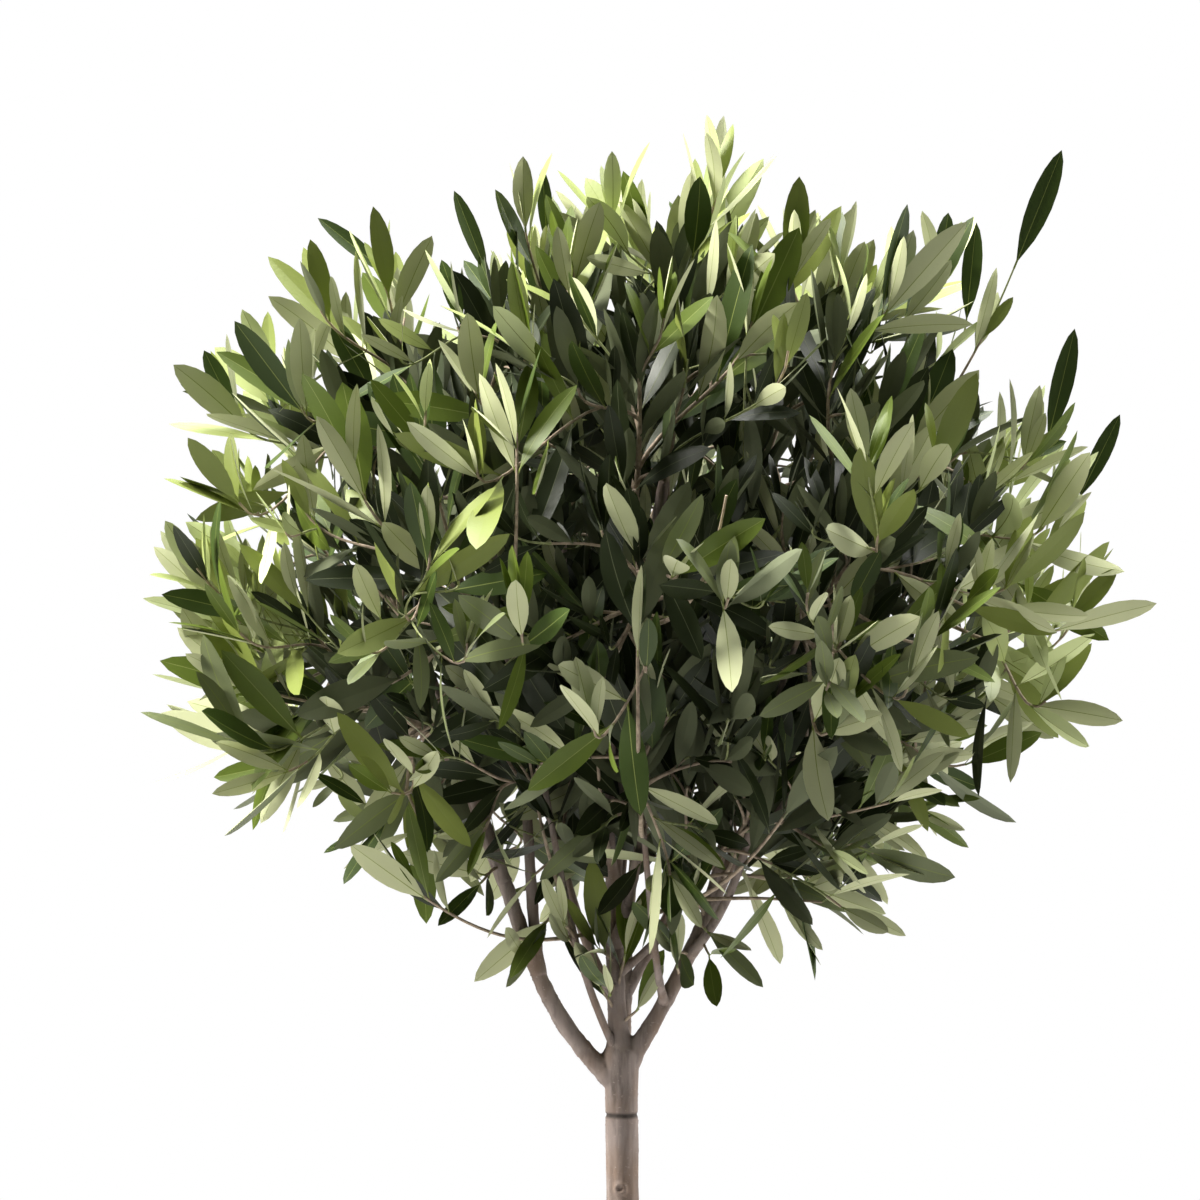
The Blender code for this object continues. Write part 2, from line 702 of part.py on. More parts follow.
def join_pieces(name, pieces):
    """One closed solid from all the pieces of a mass."""
    crowd = bpy.data.collections.new(f"{name}_pieces")
    bpy.context.scene.collection.children.link(crowd)
    mass = add_object(name, *pieces[0], "foliage")
    for number, (points, faces) in enumerate(pieces[1:]):
        add_object(f"{name}_{number:02d}", points, faces, "foliage", crowd)
    union = mass.modifiers.new("join", "BOOLEAN")
    union.operation = "UNION"
    union.operand_type = "COLLECTION"
    union.collection = crowd
    union.solver = "MANIFOLD"
    bpy.context.view_layer.update()
    graph = bpy.context.evaluated_depsgraph_get()
    joined = bpy.data.meshes.new_from_object(mass.evaluated_get(graph))
    mass.modifiers.clear()
    mass.data = joined
    for piece in list(crowd.objects):
        bpy.data.objects.remove(piece, do_unlink=True)
    bpy.data.collections.remove(crowd)
    drop_crumbs(joined)
    return mass


def main():
    clear_scene()
    make_pot()
    make_soil()
    limbs = plan_limbs()
    make_limbs(limbs)
    limb_search = limb_trees(limbs)
    targets = shoot_targets()
    for name in MASSES:
        pieces = grow_mass(name, limbs[name], targets[name], limb_search, MASS_SEEDS[name])
        join_pieces(f"foliage_{name}", pieces)


main()
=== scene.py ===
"""A standard olive tree in a plain clay pot: its bark, twigs, leaves, pot, soil and stage.

Metres, +Z up, in the frame of the solids. The crown grows on from the limbs by the solids' own rule, carried
to finer twigs: boughs run to the middles of the masses of leaves, a stem carries on from each bough's tip,
shoots leave the stem, twigs leave the shoots, and opposite pairs of leaves sit on both.
"""

import collections
import functools
import json
import math
import random

import bmesh
import bpy
from bpy.props import FloatProperty, FloatVectorProperty, IntProperty, PointerProperty
from mathutils import Matrix, Vector, noise

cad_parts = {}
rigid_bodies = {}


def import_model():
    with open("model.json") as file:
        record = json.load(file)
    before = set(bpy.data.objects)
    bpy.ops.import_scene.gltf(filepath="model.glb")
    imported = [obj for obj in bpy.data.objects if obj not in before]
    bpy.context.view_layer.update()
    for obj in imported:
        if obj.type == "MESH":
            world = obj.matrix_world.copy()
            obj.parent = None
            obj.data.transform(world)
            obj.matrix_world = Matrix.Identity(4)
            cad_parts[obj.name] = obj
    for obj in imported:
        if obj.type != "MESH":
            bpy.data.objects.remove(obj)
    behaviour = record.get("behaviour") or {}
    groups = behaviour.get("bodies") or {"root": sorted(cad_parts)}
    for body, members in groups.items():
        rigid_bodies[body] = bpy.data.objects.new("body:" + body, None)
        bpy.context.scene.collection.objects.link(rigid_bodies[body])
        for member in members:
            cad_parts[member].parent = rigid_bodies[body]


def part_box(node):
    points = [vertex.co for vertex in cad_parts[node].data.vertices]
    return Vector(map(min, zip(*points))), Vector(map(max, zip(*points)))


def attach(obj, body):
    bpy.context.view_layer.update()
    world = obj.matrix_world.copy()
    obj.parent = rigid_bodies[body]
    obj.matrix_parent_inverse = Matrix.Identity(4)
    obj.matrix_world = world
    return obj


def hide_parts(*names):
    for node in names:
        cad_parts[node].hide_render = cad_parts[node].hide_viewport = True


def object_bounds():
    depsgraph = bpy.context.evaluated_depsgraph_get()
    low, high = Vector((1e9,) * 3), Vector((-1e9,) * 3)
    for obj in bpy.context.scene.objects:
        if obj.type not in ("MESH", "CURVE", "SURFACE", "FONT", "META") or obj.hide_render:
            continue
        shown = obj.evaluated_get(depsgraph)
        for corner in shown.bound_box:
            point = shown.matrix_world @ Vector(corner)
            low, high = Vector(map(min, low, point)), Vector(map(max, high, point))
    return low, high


bl_info = {
    "name": "Potted Olive Tree",
    "version": (1, 0, 0),
    "blender": (4, 5, 0),
    "location": "View3D > Sidebar > Olive",
    "description": "Dresses the solids of a standard olive tree with bark, twigs, leaves, pot and soil",
    "category": "Object",
}

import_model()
SOLIDS_BOX = [list(corner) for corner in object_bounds()]

UP = Vector((0.0, 0.0, 1.0))
GOLDEN_TURN = math.pi * (3.0 - math.sqrt(5.0))
GAP = 0.0003

# The pot, the soil and the trunk, with the sizes of their solids. The soil's bumps are its heap at the
# trunk and its dip at the wall, each as height and width, and waves as (scale, share).
POT_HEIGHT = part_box("pot")[1][2]
POT_FOOT_RADIUS = 0.104
POT_NECK_RADIUS = 0.138
POT_RIM_RADIUS = 0.152
POT_RIM_HEIGHT = 0.044
POT_WALL = 0.012
POT_FLOOR = 0.014
DRAIN_HOLES = 4
DRAIN_RADIUS = 0.007
DRAIN_CIRCLE = 0.048
RIM_TURNING = 0.0045
PROFILE_STEP = 0.0026
POT_SIDES = 144
DRAIN_SIDES = 28
SOIL_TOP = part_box("potting_soil")[1][2]
SOIL_SUNK = 0.002
SOIL_WAVES = ((34.0, 1.0), (90.0, 0.5), (240.0, 0.3))
SOIL_HEAP = (0.0045, 0.030)
SOIL_DIP = (0.0030, 0.010)
SOIL_RINGS = 44
SOIL_SIDES = 120
# What is strewn on the soil: the finish, least and most radius, the balls' detail and the seed
STREWN = {
    "Crumbs": ("Crumb", 0.0009, 0.0031, 1, 3),
    "Grains": ("Grain", 0.0010, 0.0024, 2, 11),
}
GRAIN_COLOURS = ((0.62, 0.60, 0.55), (0.80, 0.79, 0.75))
FULL_TURN = 6.28
# The pot's turning lines: how far each drifts round the pot, and how they waver across and up
LINE_DRIFT = 0.8
WAVER_SCALES = (9.0, 30.0)
WAVER_HEIGHT = 0.0006
LINE_SUNK = 0.0004
FORK_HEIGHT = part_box("trunk")[1][2]
TRUNK_LEAN = -0.0118
TRUNK_SWAY = 0.0042
TRUNK_FOOT_RADIUS = 0.0128
TRUNK_TOP_RADIUS = 0.0098
FORK_SWELL = 0.0012
FORK_SWELL_LENGTH = 0.030
FLARE = 0.0125
FLARE_LENGTH = 0.020
FLARE_LOBES = 5
FLARE_LOBE_DEPTH = 0.30
TRUNK_SUNK = 0.004
TRUNK_STEPS = 39
TRUNK_RING_STEP = 0.003
TRUNK_TOP_RINGS = ((0.0035, 0.98), (0.0012, 0.84), (0.0, 0.55))

# The crown and its masses of leaves: turn about +Z from +X, rise above level (degrees) and reach
CROWN_CENTRE = Vector((0.003, 0.0, 1.088))
MASSES = {
    "top": (0, 81, 0.283),
    "top_left": (172, 70, 0.268),
    "top_right": (12, 54, 0.284),
    "upper_left": (190, 40, 0.308),
    "upper_right": (348, 27, 0.294),
    "left": (170, 5, 0.324),
    "right": (10, -4, 0.312),
    "low_left": (190, -22, 0.320),
    "low_right": (350, -32, 0.262),
    "bottom_left": (214, -50, 0.240),
    "bottom_right": (322, -52, 0.300),
    "front_top": (268, 42, 0.275),
    "front": (268, 6, 0.285),
    "front_left": (222, 4, 0.285),
    "front_right": (316, 4, 0.285),
    "front_low": (266, -36, 0.268),
    "back_top": (92, 44, 0.275),
    "back": (92, 4, 0.285),
    "back_left": (136, 0, 0.285),
    "back_right": (46, 0, 0.285),
    "back_low": (90, -42, 0.262),
}
MASS_MIDDLE = 0.62
REACH_BLEND = 14.0

# Each bough: the limb it leaves, how far along it, the turn and rise it sets off at, its root's radius
BOUGHS = {
    "top": ("trunk", 0.985, 180, 84, 0.0062),
    "low_left": ("trunk", 0.958, 186, 35, 0.0060),
    "right": ("trunk", 0.972, 352, 54, 0.0056),
    "back_low": ("trunk", 0.965, 88, 46, 0.0056),
    "front_left": ("trunk", 0.985, 222, 54, 0.0024),
    "bottom_left": ("top", 0.125, 196, 12, 0.0025),
    "bottom_right": ("top", 0.145, 332, 26, 0.0028),
    "front": ("top", 0.190, 296, 52, 0.0036),
    "front_low": ("right", 0.16, 262, 22, 0.0026),
    "front_top": ("top", 0.300, 262, 48, 0.0034),
    "back_top": ("top", 0.345, 95, 48, 0.0034),
    "top_right": ("top", 0.425, 10, 50, 0.0034),
    "top_left": ("top", 0.500, 178, 52, 0.0032),
    "upper_left": ("low_left", 0.34, 186, 84, 0.0038),
    "left": ("low_left", 0.58, 168, 62, 0.0034),
    "front_right": ("right", 0.26, 318, 40, 0.0032),
    "upper_right": ("right", 0.36, 350, 78, 0.0036),
    "low_right": ("right", 0.50, 342, 16, 0.0030),
    "back": ("top", 0.165, 84, 48, 0.0034),
    "back_left": ("back_low", 0.36, 150, 52, 0.0036),
    "back_right": ("back_low", 0.48, 28, 52, 0.0034),
}
BOUGH_TIP_SHARE = 0.56
LEAST_BOUGH_TIP = 0.0017
BOUGH_HANDLE = 0.38
BOUGH_STEPS = 60
BOUGH_LIFT = 0.45
BOUGH_ENTRY = 0.006
LEAST_BOUGH_SHARE = 0.42

# Bark: the fused fork, the free boughs with their collars, scars and lumps, and the relief. Streaks,
# swells and warts have a scale across and a scale along the trunk.
FUSED_BOUGH_RADIUS = 0.005
FUSED_VOXEL = 0.0011
FUSED_SIDES = 28
BOUGH_SIDES = 10
BOUGH_RING_STEP = 0.003
COLLAR_SWELL = 0.40
COLLAR_LENGTH = 0.007
BUD_SCAR_STEP = 0.022
BUD_SCAR_SWELL = 0.10
GROOVE_HEIGHT = 0.757
GROOVE_WIDTH = 0.0011
GROOVE_DEPTH = 0.0009
COLLAR_SINK = 0.75
BUD_SCAR_LENGTH = 0.0022
LUMP_SWELL = 0.07
LUMP_SCALE = 90.0
BOUGH_END_SHARE = 0.8
FUSED_SKIN_SIDES = 16
SMOOTH_FACTOR = 0.5
SMOOTH_ROUNDS = 5
STREAKS = (330.0, 42.0)
SWELLS = (60.0, 26.0)
WARTS = (420.0, 900.0)
GRAIN_SCALE = 800.0
RELIEF_SHARES = (0.8, 0.25, 1.6)
WART_LEVEL = 0.36
WART_HEIGHT = 2.2
# Scars of lost side shoots: height, turn and size of each, then the height, place and width of their rims
# and the depth and width of their pits, as shares of the size
KNOTS = (
    (0.352, 250, 0.0075), (0.474, 40, 0.0065), (0.561, 285, 0.0070), (0.655, 160, 0.0060),
    (0.712, 262, 0.0050),
)
KNOT_RIM = (0.0016, 0.55, 0.30)
KNOT_PIT = (0.0009, 0.28)
KNOT_REACH = 1.5

# Shoots: golden spirals of targets over the outline and inside it. Depths are shares of the reach, and lifts
# say how much more upright than its way out a shoot ends.
SEED = 41
SHOOT_TARGETS = 126
INNER_TARGETS = 36
INNER_DEPTH = 0.66
SHOOT_JITTER = 0.10
SHOOT_DEPTHS = (0.97, 0.84, 0.92, 0.78)
TWIG_DEPTHS = (0.84, 0.90, 0.74, 0.87, 0.66)
DEEP_TWIG_DEPTHS = (0.62, 0.48, 0.70, 0.36)
HIGH_LIFTS = (0.60, 2.00)
LOW_LIFTS = (0.00, 0.75)
LOW_WAY_OUT = -0.25
EDGE_BAND = 0.40
EDGE_DEPTHS = (0.88, 0.80)
POCKET_SIZE = 0.085
POCKET_DEPTH = 0.42
POCKET_SHIFT = Vector((3.1, 8.7, 1.9))
LEAST_HOLLOW = 0.08
HOLLOW_EDGE = 1.02
# Hollows between the tufts, where the inside shows: turn and rise of each, its half width in degrees and
# its depth as a share of the reach
HOLLOWS = (
    (280, 24, 18, 0.40), (253, -2, 12, 0.35), (261, -27, 14, 0.38), (282, -12, 14, 0.37),
    (238, 22, 10, 0.25), (312, 26, 12, 0.28), (180, 54, 9, 0.30), (0, 88, 7, 0.30), (0, 60, 9, 0.22),
    (0, 6, 7, 0.16), (62, 18, 15, 0.20), (118, -16, 15, 0.22), (90, 52, 13, 0.18),
)
STEM_REACH = 0.66
STEM_TIP_RADIUS = 0.0011
STEM_SUNK = 0.004
STEM_STEP = 0.006
STEM_LIFT = 0.4
STEM_HANDLE = 0.4
STEM_PAIRS = 5
STEM_STEPS = 24
TURN_COST = 1.55
SHOOT_HANDLE = 0.36
SHOOT_STEPS = 10
LEAVE_SHARES = (0.55, 0.90)
FINISH_SHARES = (0.50, 0.20)
# How the pairs of leaves stand on a twig and change with age, back from its tip
AGED_PAIRS = 3.0
MISSING_SHARES = (0.05, 0.10)
SPREADS = (18.0, 28.0)
SPREAD_SHAKE = (-9.0, 11.0)
PAIR_TURN_SHAKE = 0.25
LEAF_LIFTS = (0.58, 0.24)
LIFT_LOSS = 0.30
LOW_WAY = -0.35
AXIS_FACING = 0.55
OUT_FACING = 0.60
UP_FACING = 0.45
ROLL_SPREAD = 0.55
FLIPPED_SHARE = 0.20
LOW_FLIPPED_SHARE = 0.42
OTHER_TINT_SHARES = (0.25, 0.35)
YOUNG_SIZE = 0.60
FIRST_AGE = 0.35
GROWN_PAIRS = 1.6
SIZE_SHAKE = (0.80, 1.14)
WIDTH_SHAKE = (0.86, 1.16)
STEP_SHAKE = (0.85, 1.20)
STEP_GROWTH = (0.75, 0.30)
THINNER_SHARE = 0.9
SHOOT_RADII = (0.0017, 0.0008)
TWIG_RADII = (0.0011, 0.0006)
SPRIG_RADII = (0.0012, 0.0007)
SPRIG_HANDLE = 0.35
SPRIG_STEPS = 8
SPRIG_LEAF_SHARE = 0.95
STRAY_RADII = (0.0012, 0.0006)
STRAY_WIDTH = 0.78
STRAY_LENGTHS = (0.02, 0.30)
STRAY_LEAF_SHARE = 0.97
STRAY_LOWER_SHARE = 0.8
STRAY_ROLL = 0.2
STRAY_FACE = Vector((0.3, -1.0, 0.35))
ARCHING_TIP_RADIUS = 0.0008
ARCHING_HANDLE = 0.42
ARCHING_STEPS = 16
YOUNG_RADIUS = 0.00078
TWIG_SIDES = 6
LOWEST_TWIG_END = 0.872
OPEN_FORK_RISE = 0.045
OPEN_FORK_WIDTH = 0.10
LOWEST_LEAF = 0.826
BOX_MARGIN = 0.002
BARE_LENGTH = 0.012
LEAF_ROOT_GAP = 0.0004
LEAF_SIZES = (0.84, 1.20)
FINE_LEAF_SIZES = (0.58, 1.08)
# The bands that deal the leaves' tints: leaves nearer the centre than this share of the reach take painted
# shade, and those high up or out at the sides take lighter tints that are partly painted light.
DEEP_SHARE = 0.72
HIGH_BAND = 0.125
SIDE_BAND = 0.205
LOW_BAND = -0.075

# Long shoots at the outline as seen from the front: the rise of each tip above level from the crown's
# centre, anticlockwise from the right, and its reach
TUFTS = (
    (80.5, 0.291), (84, 0.259), (75, 0.246), (90, 0.250), (95, 0.266), (102, 0.256), (108, 0.272),
    (123, 0.248), (129.5, 0.286), (138, 0.304), (147, 0.297), (153, 0.309), (164, 0.300), (174, 0.309),
    (178, 0.302), (182, 0.298), (186, 0.292), (190, 0.300), (194, 0.304), (198.6, 0.316), (207, 0.308),
    (219, 0.262), (226, 0.258), (237, 0.236), (297, 0.245), (303, 0.278), (312, 0.266), (322, 0.262),
    (328.4, 0.250), (336, 0.266), (350, 0.290), (359.5, 0.304), (5.5, 0.296), (15, 0.295), (23, 0.285),
    (49, 0.303), (51, 0.291), (55, 0.285), (60, 0.268), (66.4, 0.271),
)
# The two shoots of each tuft: how far each stands before or behind the view's plane, and its share of reach
TUFT_SIDES = ((-14, 1.0), (12, 0.965))
TUFT_SWING = 9
# Long shoots round the back: turn and rise of each tip from the crown's centre, and its reach
BACK_TUFTS = (
    (90, 4, 0.304), (76, 20, 0.300), (105, -12, 0.300), (91, 36, 0.296), (68, -8, 0.298),
    (113, 16, 0.300), (84, -26, 0.280), (101, 53, 0.286), (56, 10, 0.298), (126, -4, 0.300),
    (74, 60, 0.284), (97, -2, 0.300),
)
# Bright tufts that stand out of the crown's front: across and up from the crown's centre, how upright
# (0 outward, 1 straight up) and the leaves' tint
FRONT_TUFTS = (
    (-0.134, 0.128, 0.95, "fresh"), (-0.106, 0.104, 0.90, "yellow_green"),
    (-0.134, 0.052, 0.90, "yellow_green"), (-0.075, 0.176, 0.95, "fresh"),
    (-0.050, 0.215, 0.95, "yellow_green"), (0.010, 0.190, 0.95, "olive"), (-0.245, 0.160, 0.95, "fresh"),
    (-0.225, 0.050, 0.80, "fresh"), (-0.255, 0.075, 0.85, "yellow_green"),
    (-0.262, 0.018, 0.80, "yellow_green"), (-0.110, -0.010, 0.85, "grey_green"),
    (-0.078, 0.002, 0.80, "olive"), (0.020, 0.022, 0.35, "olive"), (0.052, 0.012, 0.50, "grey_green"),
    (0.098, 0.010, 0.60, "grey_green"), (0.205, 0.020, 0.90, "yellow_green"),
    (0.245, 0.016, 0.90, "fresh"), (0.180, 0.002, 0.85, "olive"), (0.115, -0.040, 0.60, "grey_green"),
    (0.135, 0.105, 0.90, "olive"), (0.185, 0.110, 0.85, "yellow_green"),
    (0.085, 0.160, 0.92, "yellow_green"), (0.128, 0.190, 0.95, "fresh"),
    (-0.180, -0.030, 0.45, "grey_green"), (0.165, -0.035, 0.75, "grey_green"),
    (-0.035, -0.060, 0.70, "olive"), (-0.185, 0.110, 0.90, "olive"),
)
FRONT_DEPTH = 0.90
FRONT_GUESS = 0.14
# Lone thin shoots that stand out of the outline: the mass each grows from, turn, rise and reach of its tip,
# length of its end leaf and how upright that leaf is
STRAYS = (
    ("upper_right", 352, 45.5, 0.366, 0.078, 1.0),
    ("upper_right", 356, 47, 0.300, 0.064, 6.0),
    ("upper_right", 356, 30, 0.306, 0.074, 3.0),
    ("right", 356, 19, 0.309, 0.060, 1.6),
    ("top_left", 178, 64, 0.268, 0.060, 0.25),
    ("top_left", 178, 76, 0.262, 0.050, 3.0),
    ("upper_left", 184, 48, 0.300, 0.060, -0.2),
)
# Small sprigs low on the limbs: the limb, how far along it, turn, rise, length, pairs and tint of leaves
SPRIGS = (
    ("low_left", 0.38, 256, 10, 0.018, 1, "dark"),
    ("low_left", 0.62, 240, -20, 0.026, 2, "dark"),
    ("low_left", 0.80, 250, 20, 0.024, 2, "grey_green"),
    ("top", 0.050, 318, 40, 0.022, 2, "olive"),
    ("top", 0.070, 236, 48, 0.026, 2, "dark"),
    ("top", 0.100, 290, 62, 0.034, 3, "olive"),
    ("top", 0.125, 262, -10, 0.024, 2, "dark"),
    ("top", 0.160, 250, 24, 0.030, 2, "dark"),
    ("right", 0.215, 268, 24, 0.020, 2, "dark"),
    ("right", 0.260, 250, 10, 0.026, 2, "dark"),
    ("right", 0.300, 292, -24, 0.022, 1, "olive"),
    ("right", 0.340, 250, 30, 0.030, 2, "dark"),
    ("bottom_left", 0.45, 260, 20, 0.026, 2, "dark"),
    ("bottom_left", 0.80, 200, -40, 0.024, 2, "grey_green"),
    ("bottom_right", 0.50, 300, 35, 0.030, 3, "dark"),
    ("bottom_right", 0.80, 330, -40, 0.024, 2, "grey_green"),
    ("front_left", 0.30, 250, 30, 0.022, 2, "dark"),
    ("front_left", 0.48, 200, -30, 0.020, 2, "dark"),
    ("front_left", 0.66, 300, 35, 0.026, 2, "olive"),
    ("front_left", 0.82, 190, 10, 0.026, 2, "dark"),
)

# Thin pale twigs that arch out in front of the fork and stand in the crown's hollows: the limb, how far
# along it, turn and rise at the start, length, rise at the end, radius and pairs of leaves
ARCHING_TWIGS = (
    ("top", 0.240, 312, 6, 0.185, 48, 0.0019, 5),
    ("top", 0.225, 210, -12, 0.140, 34, 0.0016, 3),
    ("front_left", 0.30, 232, 62, 0.150, 78, 0.0013, 3),
    ("top", 0.330, 262, 20, 0.130, 84, 0.0016, 4),
    ("bottom_right", 0.85, 350, 4, 0.085, -4, 0.0015, 1),
    ("right", 0.42, 286, 30, 0.110, 66, 0.0014, 4),
    ("front_low", 0.96, 268, -14, 0.185, 104, 0.0019, 3),
    ("front_left", 0.97, 276, -6, 0.165, 104, 0.0016, 3),
    ("front", 0.96, 296, 0, 0.130, 70, 0.0016, 4),
    ("right", 0.60, 262, 10, 0.150, 60, 0.0015, 4),
)

# Leaf blades: the shares of the length at which the outline is drawn, and the bends of each kind
LEAF_STATIONS = (0.0, 0.07, 0.14, 0.26, 0.40, 0.54, 0.68, 0.81, 0.92, 1.0)
PETIOLE_SHARE = 0.085
PETIOLE_WIDTH = 0.085
RIB_WIDTH = 0.040
LEAF_THICKNESS = 0.0075
RIB_TAPER = 0.6
KEEL_SHARE = 1.6
LEAF_CUP = 0.28
WIDEST = 0.52
BASE_POWER = 0.78
TIP_POWER = 0.72
# The zones of a leaf's faces, and those of its section from the left half round by the upper side
BLADE_ZONE, RIB_ZONE, UNDER_ZONE, STALK_ZONE = range(4)
SECTION_ZONES = (BLADE_ZONE, RIB_ZONE, BLADE_ZONE, UNDER_ZONE, STALK_ZONE, UNDER_ZONE)
BLADE_EDGES = (0, 3)
LEAF_KINDS = {
    "straight": {"arch": 0.02, "fold": 0.16, "sway": 0.00, "twist": 0.0},
    "arched": {"arch": 0.14, "fold": 0.10, "sway": 0.03, "twist": 6.0},
    "upturned": {"arch": -0.09, "fold": 0.24, "sway": -0.03, "twist": -5.0},
    "twisted": {"arch": 0.05, "fold": 0.12, "sway": 0.04, "twist": 26.0},
    "drooping": {"arch": 0.22, "fold": 0.06, "sway": -0.05, "twist": -14.0},
    "flat": {"arch": 0.04, "fold": 0.03, "sway": 0.02, "twist": 10.0},
}
# Roughness and sheen of the leaves' parts
LEAF_GLOSSES = {
    "rib": (0.60, 0.0),
    "underside": (0.80, 0.08),
    "shaded_underside": (0.80, 0.0),
    "fresh_underside": (0.78, 0.05),
}
UPPER_ROUGHNESS = 0.46
# The leaves' tints and their shares in each band: the shade tint is painted shade, the larger shade and dark
# shares of the middle, low and deep bands are painted shade, and the larger yellow-green and fresh shares of
# the high band are partly painted light.
TINTS = ("shade", "dark", "olive", "yellow_green", "fresh", "grey_green")
TINT_SHARES = {
    "high": (0.02, 0.08, 0.21, 0.41, 0.25, 0.03),
    "middle": (0.25, 0.40, 0.21, 0.07, 0.01, 0.06),
    "low": (0.08, 0.32, 0.24, 0.10, 0.02, 0.24),
    "deep": (0.82, 0.16, 0.02, 0.00, 0.00, 0.00),
}

# The camera that matches the view: level, looking along +Y
VIEW_PLACE = (-0.0248, -2.6, 1.076)
VIEW_WIDTH = 0.744
VIEW_REACH = 60.0
SENSOR_WIDTH = 36.0

# The stage: place, size and colour of each soft light, the tilt and spread of the sky's, and the floor
LIGHTS = {
    "key": ((-2.3, -0.25, 2.6), 0.9, (1.0, 0.975, 0.93)),
    "top": ((0.10, 0.35, 3.1), 1.2, (1.0, 0.99, 0.96)),
    "fill": ((2.5, 0.8, 2.2), 1.4, (1.0, 0.99, 0.97)),
}
SKY_TILT = (-8.0, -6.0)
SKY_SPREAD = 50.0
SKY_HEIGHT = 4.0
FLOOR_SIDES = 128
FLOOR_DROP = 0.0005


# Settings that a user would change


def a_colour(name, description, default):
    return FloatVectorProperty(
        name=name, description=description, default=default, subtype="COLOR", min=0.0, max=1.0
    )


def a_length(name, description, default, least=0.0):
    return FloatProperty(name=name, description=description, default=default, min=least, unit="LENGTH")


def a_power(name, description, default):
    return FloatProperty(name=name, description=description, default=default, min=0.0, unit="POWER")


def a_count(name, description, default):
    return IntProperty(name=name, description=description, default=default, min=0)


class OliveBarkSettings(bpy.types.PropertyGroup):
    """Sizes and colours of the trunk and the boughs."""

    relief: a_length("Relief", "Depth of the bark's streaks", 0.00045)
    light: a_colour("Light bark", "Colour of the ridges", (0.258, 0.211, 0.190))
    dark: a_colour("Dark bark", "Colour of the streaks", (0.109, 0.087, 0.075))


class OliveCrownSettings(bpy.types.PropertyGroup):
    """Numbers, sizes and colours of the twigs and the leaves."""

    outer_twigs: a_count("Outer twigs", "Fine twigs that end at the outline", 225)
    deep_twigs: a_count("Deep twigs", "Fine twigs that end inside the crown", 190)
    leaf_length: a_length("Leaf length", "Length of a full-grown leaf", 0.065, 0.01)
    leaf_width: FloatProperty(
        name="Leaf width", description="Width as a share of the length", default=0.25, min=0.1, max=0.6
    )
    pair_step: a_length("Pair spacing", "From one pair of leaves to the next", 0.0145, 0.004)
    twig_colour: a_colour("Twigs", "Colour of the woody twigs", (0.33, 0.26, 0.19))
    tip_colour: a_colour("Young twigs", "Colour of the twigs' green tips", (0.27, 0.30, 0.13))
    # The tints are dealt by place in the crown: the near-black shade tint is painted shade for leaves deep
    # inside, dark leaves go mostly to the middle and the inside as painted shade, and yellow-green and fresh
    # leaves go mostly to the top and the sides, partly as painted light.
    shade: a_colour("Shaded leaves", "Colour of leaves inside", (0.014, 0.022, 0.004))
    dark: a_colour("Dark leaves", "Colour of old leaves", (0.036, 0.062, 0.008))
    olive: a_colour("Olive leaves", "Colour of full leaves", (0.088, 0.128, 0.012))
    yellow_green: a_colour("Yellow-green leaves", "Colour of summer leaves", (0.182, 0.222, 0.046))
    fresh: a_colour("Fresh leaves", "Colour of new leaves", (0.275, 0.322, 0.110))
    grey_green: a_colour("Grey-green leaves", "Colour of shaded leaves", (0.135, 0.160, 0.070))
    rib: a_colour("Ribs", "Colour of the middle ribs", (0.19, 0.23, 0.055))
    underside: a_colour("Undersides", "Silvery colour of the undersides", (0.43, 0.455, 0.26))
    # Painted shade: the dark undersides of the shade-tinted leaves deep in the crown.
    shaded_underside: a_colour("Shaded undersides", "Colour under the leaves inside", (0.10, 0.115, 0.060))
    fresh_underside: a_colour("Fresh undersides", "Colour under new leaves", (0.55, 0.62, 0.30))


class OlivePotSettings(bpy.types.PropertyGroup):
    """Turning lines and colours of the clay pot."""

    line_step: a_length("Turning lines", "From one turning line to the next", 0.0052, 0.001)
    line_depth: a_length("Line depth", "Depth of the turning lines", 0.00022)
    clay: a_colour("Clay", "Colour of the fired clay", (0.40, 0.165, 0.092))
    bloom: a_colour("Bloom", "Colour of the salt bloom", (0.55, 0.40, 0.32))
    damp: a_colour("Damp clay", "Colour where it stays damp", (0.26, 0.105, 0.062))


class OliveSoilSettings(bpy.types.PropertyGroup):
    """Roughness, crumbs and colours of the potting soil."""

    unevenness: a_length("Unevenness", "Height of the soil's bumps", 0.0035)
    crumbs: a_count("Crumbs", "Crumbs on each square metre", 42000)
    grains: a_count("Grains", "Pale grains on each square metre", 3600)
    soil: a_colour("Soil", "Colour of damp soil", (0.060, 0.040, 0.028))
    dry: a_colour("Dry soil", "Colour of drier crumbs", (0.14, 0.098, 0.070))


class OliveStageSettings(bpy.types.PropertyGroup):
    """Floor and lights."""

    floor_radius: a_length("Floor", "Radius of the round floor", 2.6, 0.5)
    floor_colour: a_colour("Floor colour", "Pale floor", (0.44, 0.44, 0.435))
    key_power: a_power("Key light", "Power of the soft light at the upper left", 228.0)
    fill_power: a_power("Fill light", "Power of the wide light at the right", 110.0)
    top_power: a_power("Top light", "Power of the light overhead", 100.0)
    sky_power: FloatProperty(
        name="Sky light", description="Strength of the even light from above", default=4.0, min=0.0
    )
    surround: FloatProperty(
        name="Surround", description="Brightness of the room's light", default=0.10, min=0.0
    )


# Small helpers


def add_node(tree, kind, inputs=None, **settings):
    """A node with its settings, and its inputs either linked from other nodes' outputs or set to values."""
    made = tree.nodes.new(kind)
    for key, value in settings.items():
        setattr(made, key, value)
    for socket, value in (inputs or {}).items():
        if isinstance(value, bpy.types.NodeSocket):
            tree.links.new(value, made.inputs[socket])
        else:
            made.inputs[socket].default_value = value
    return made


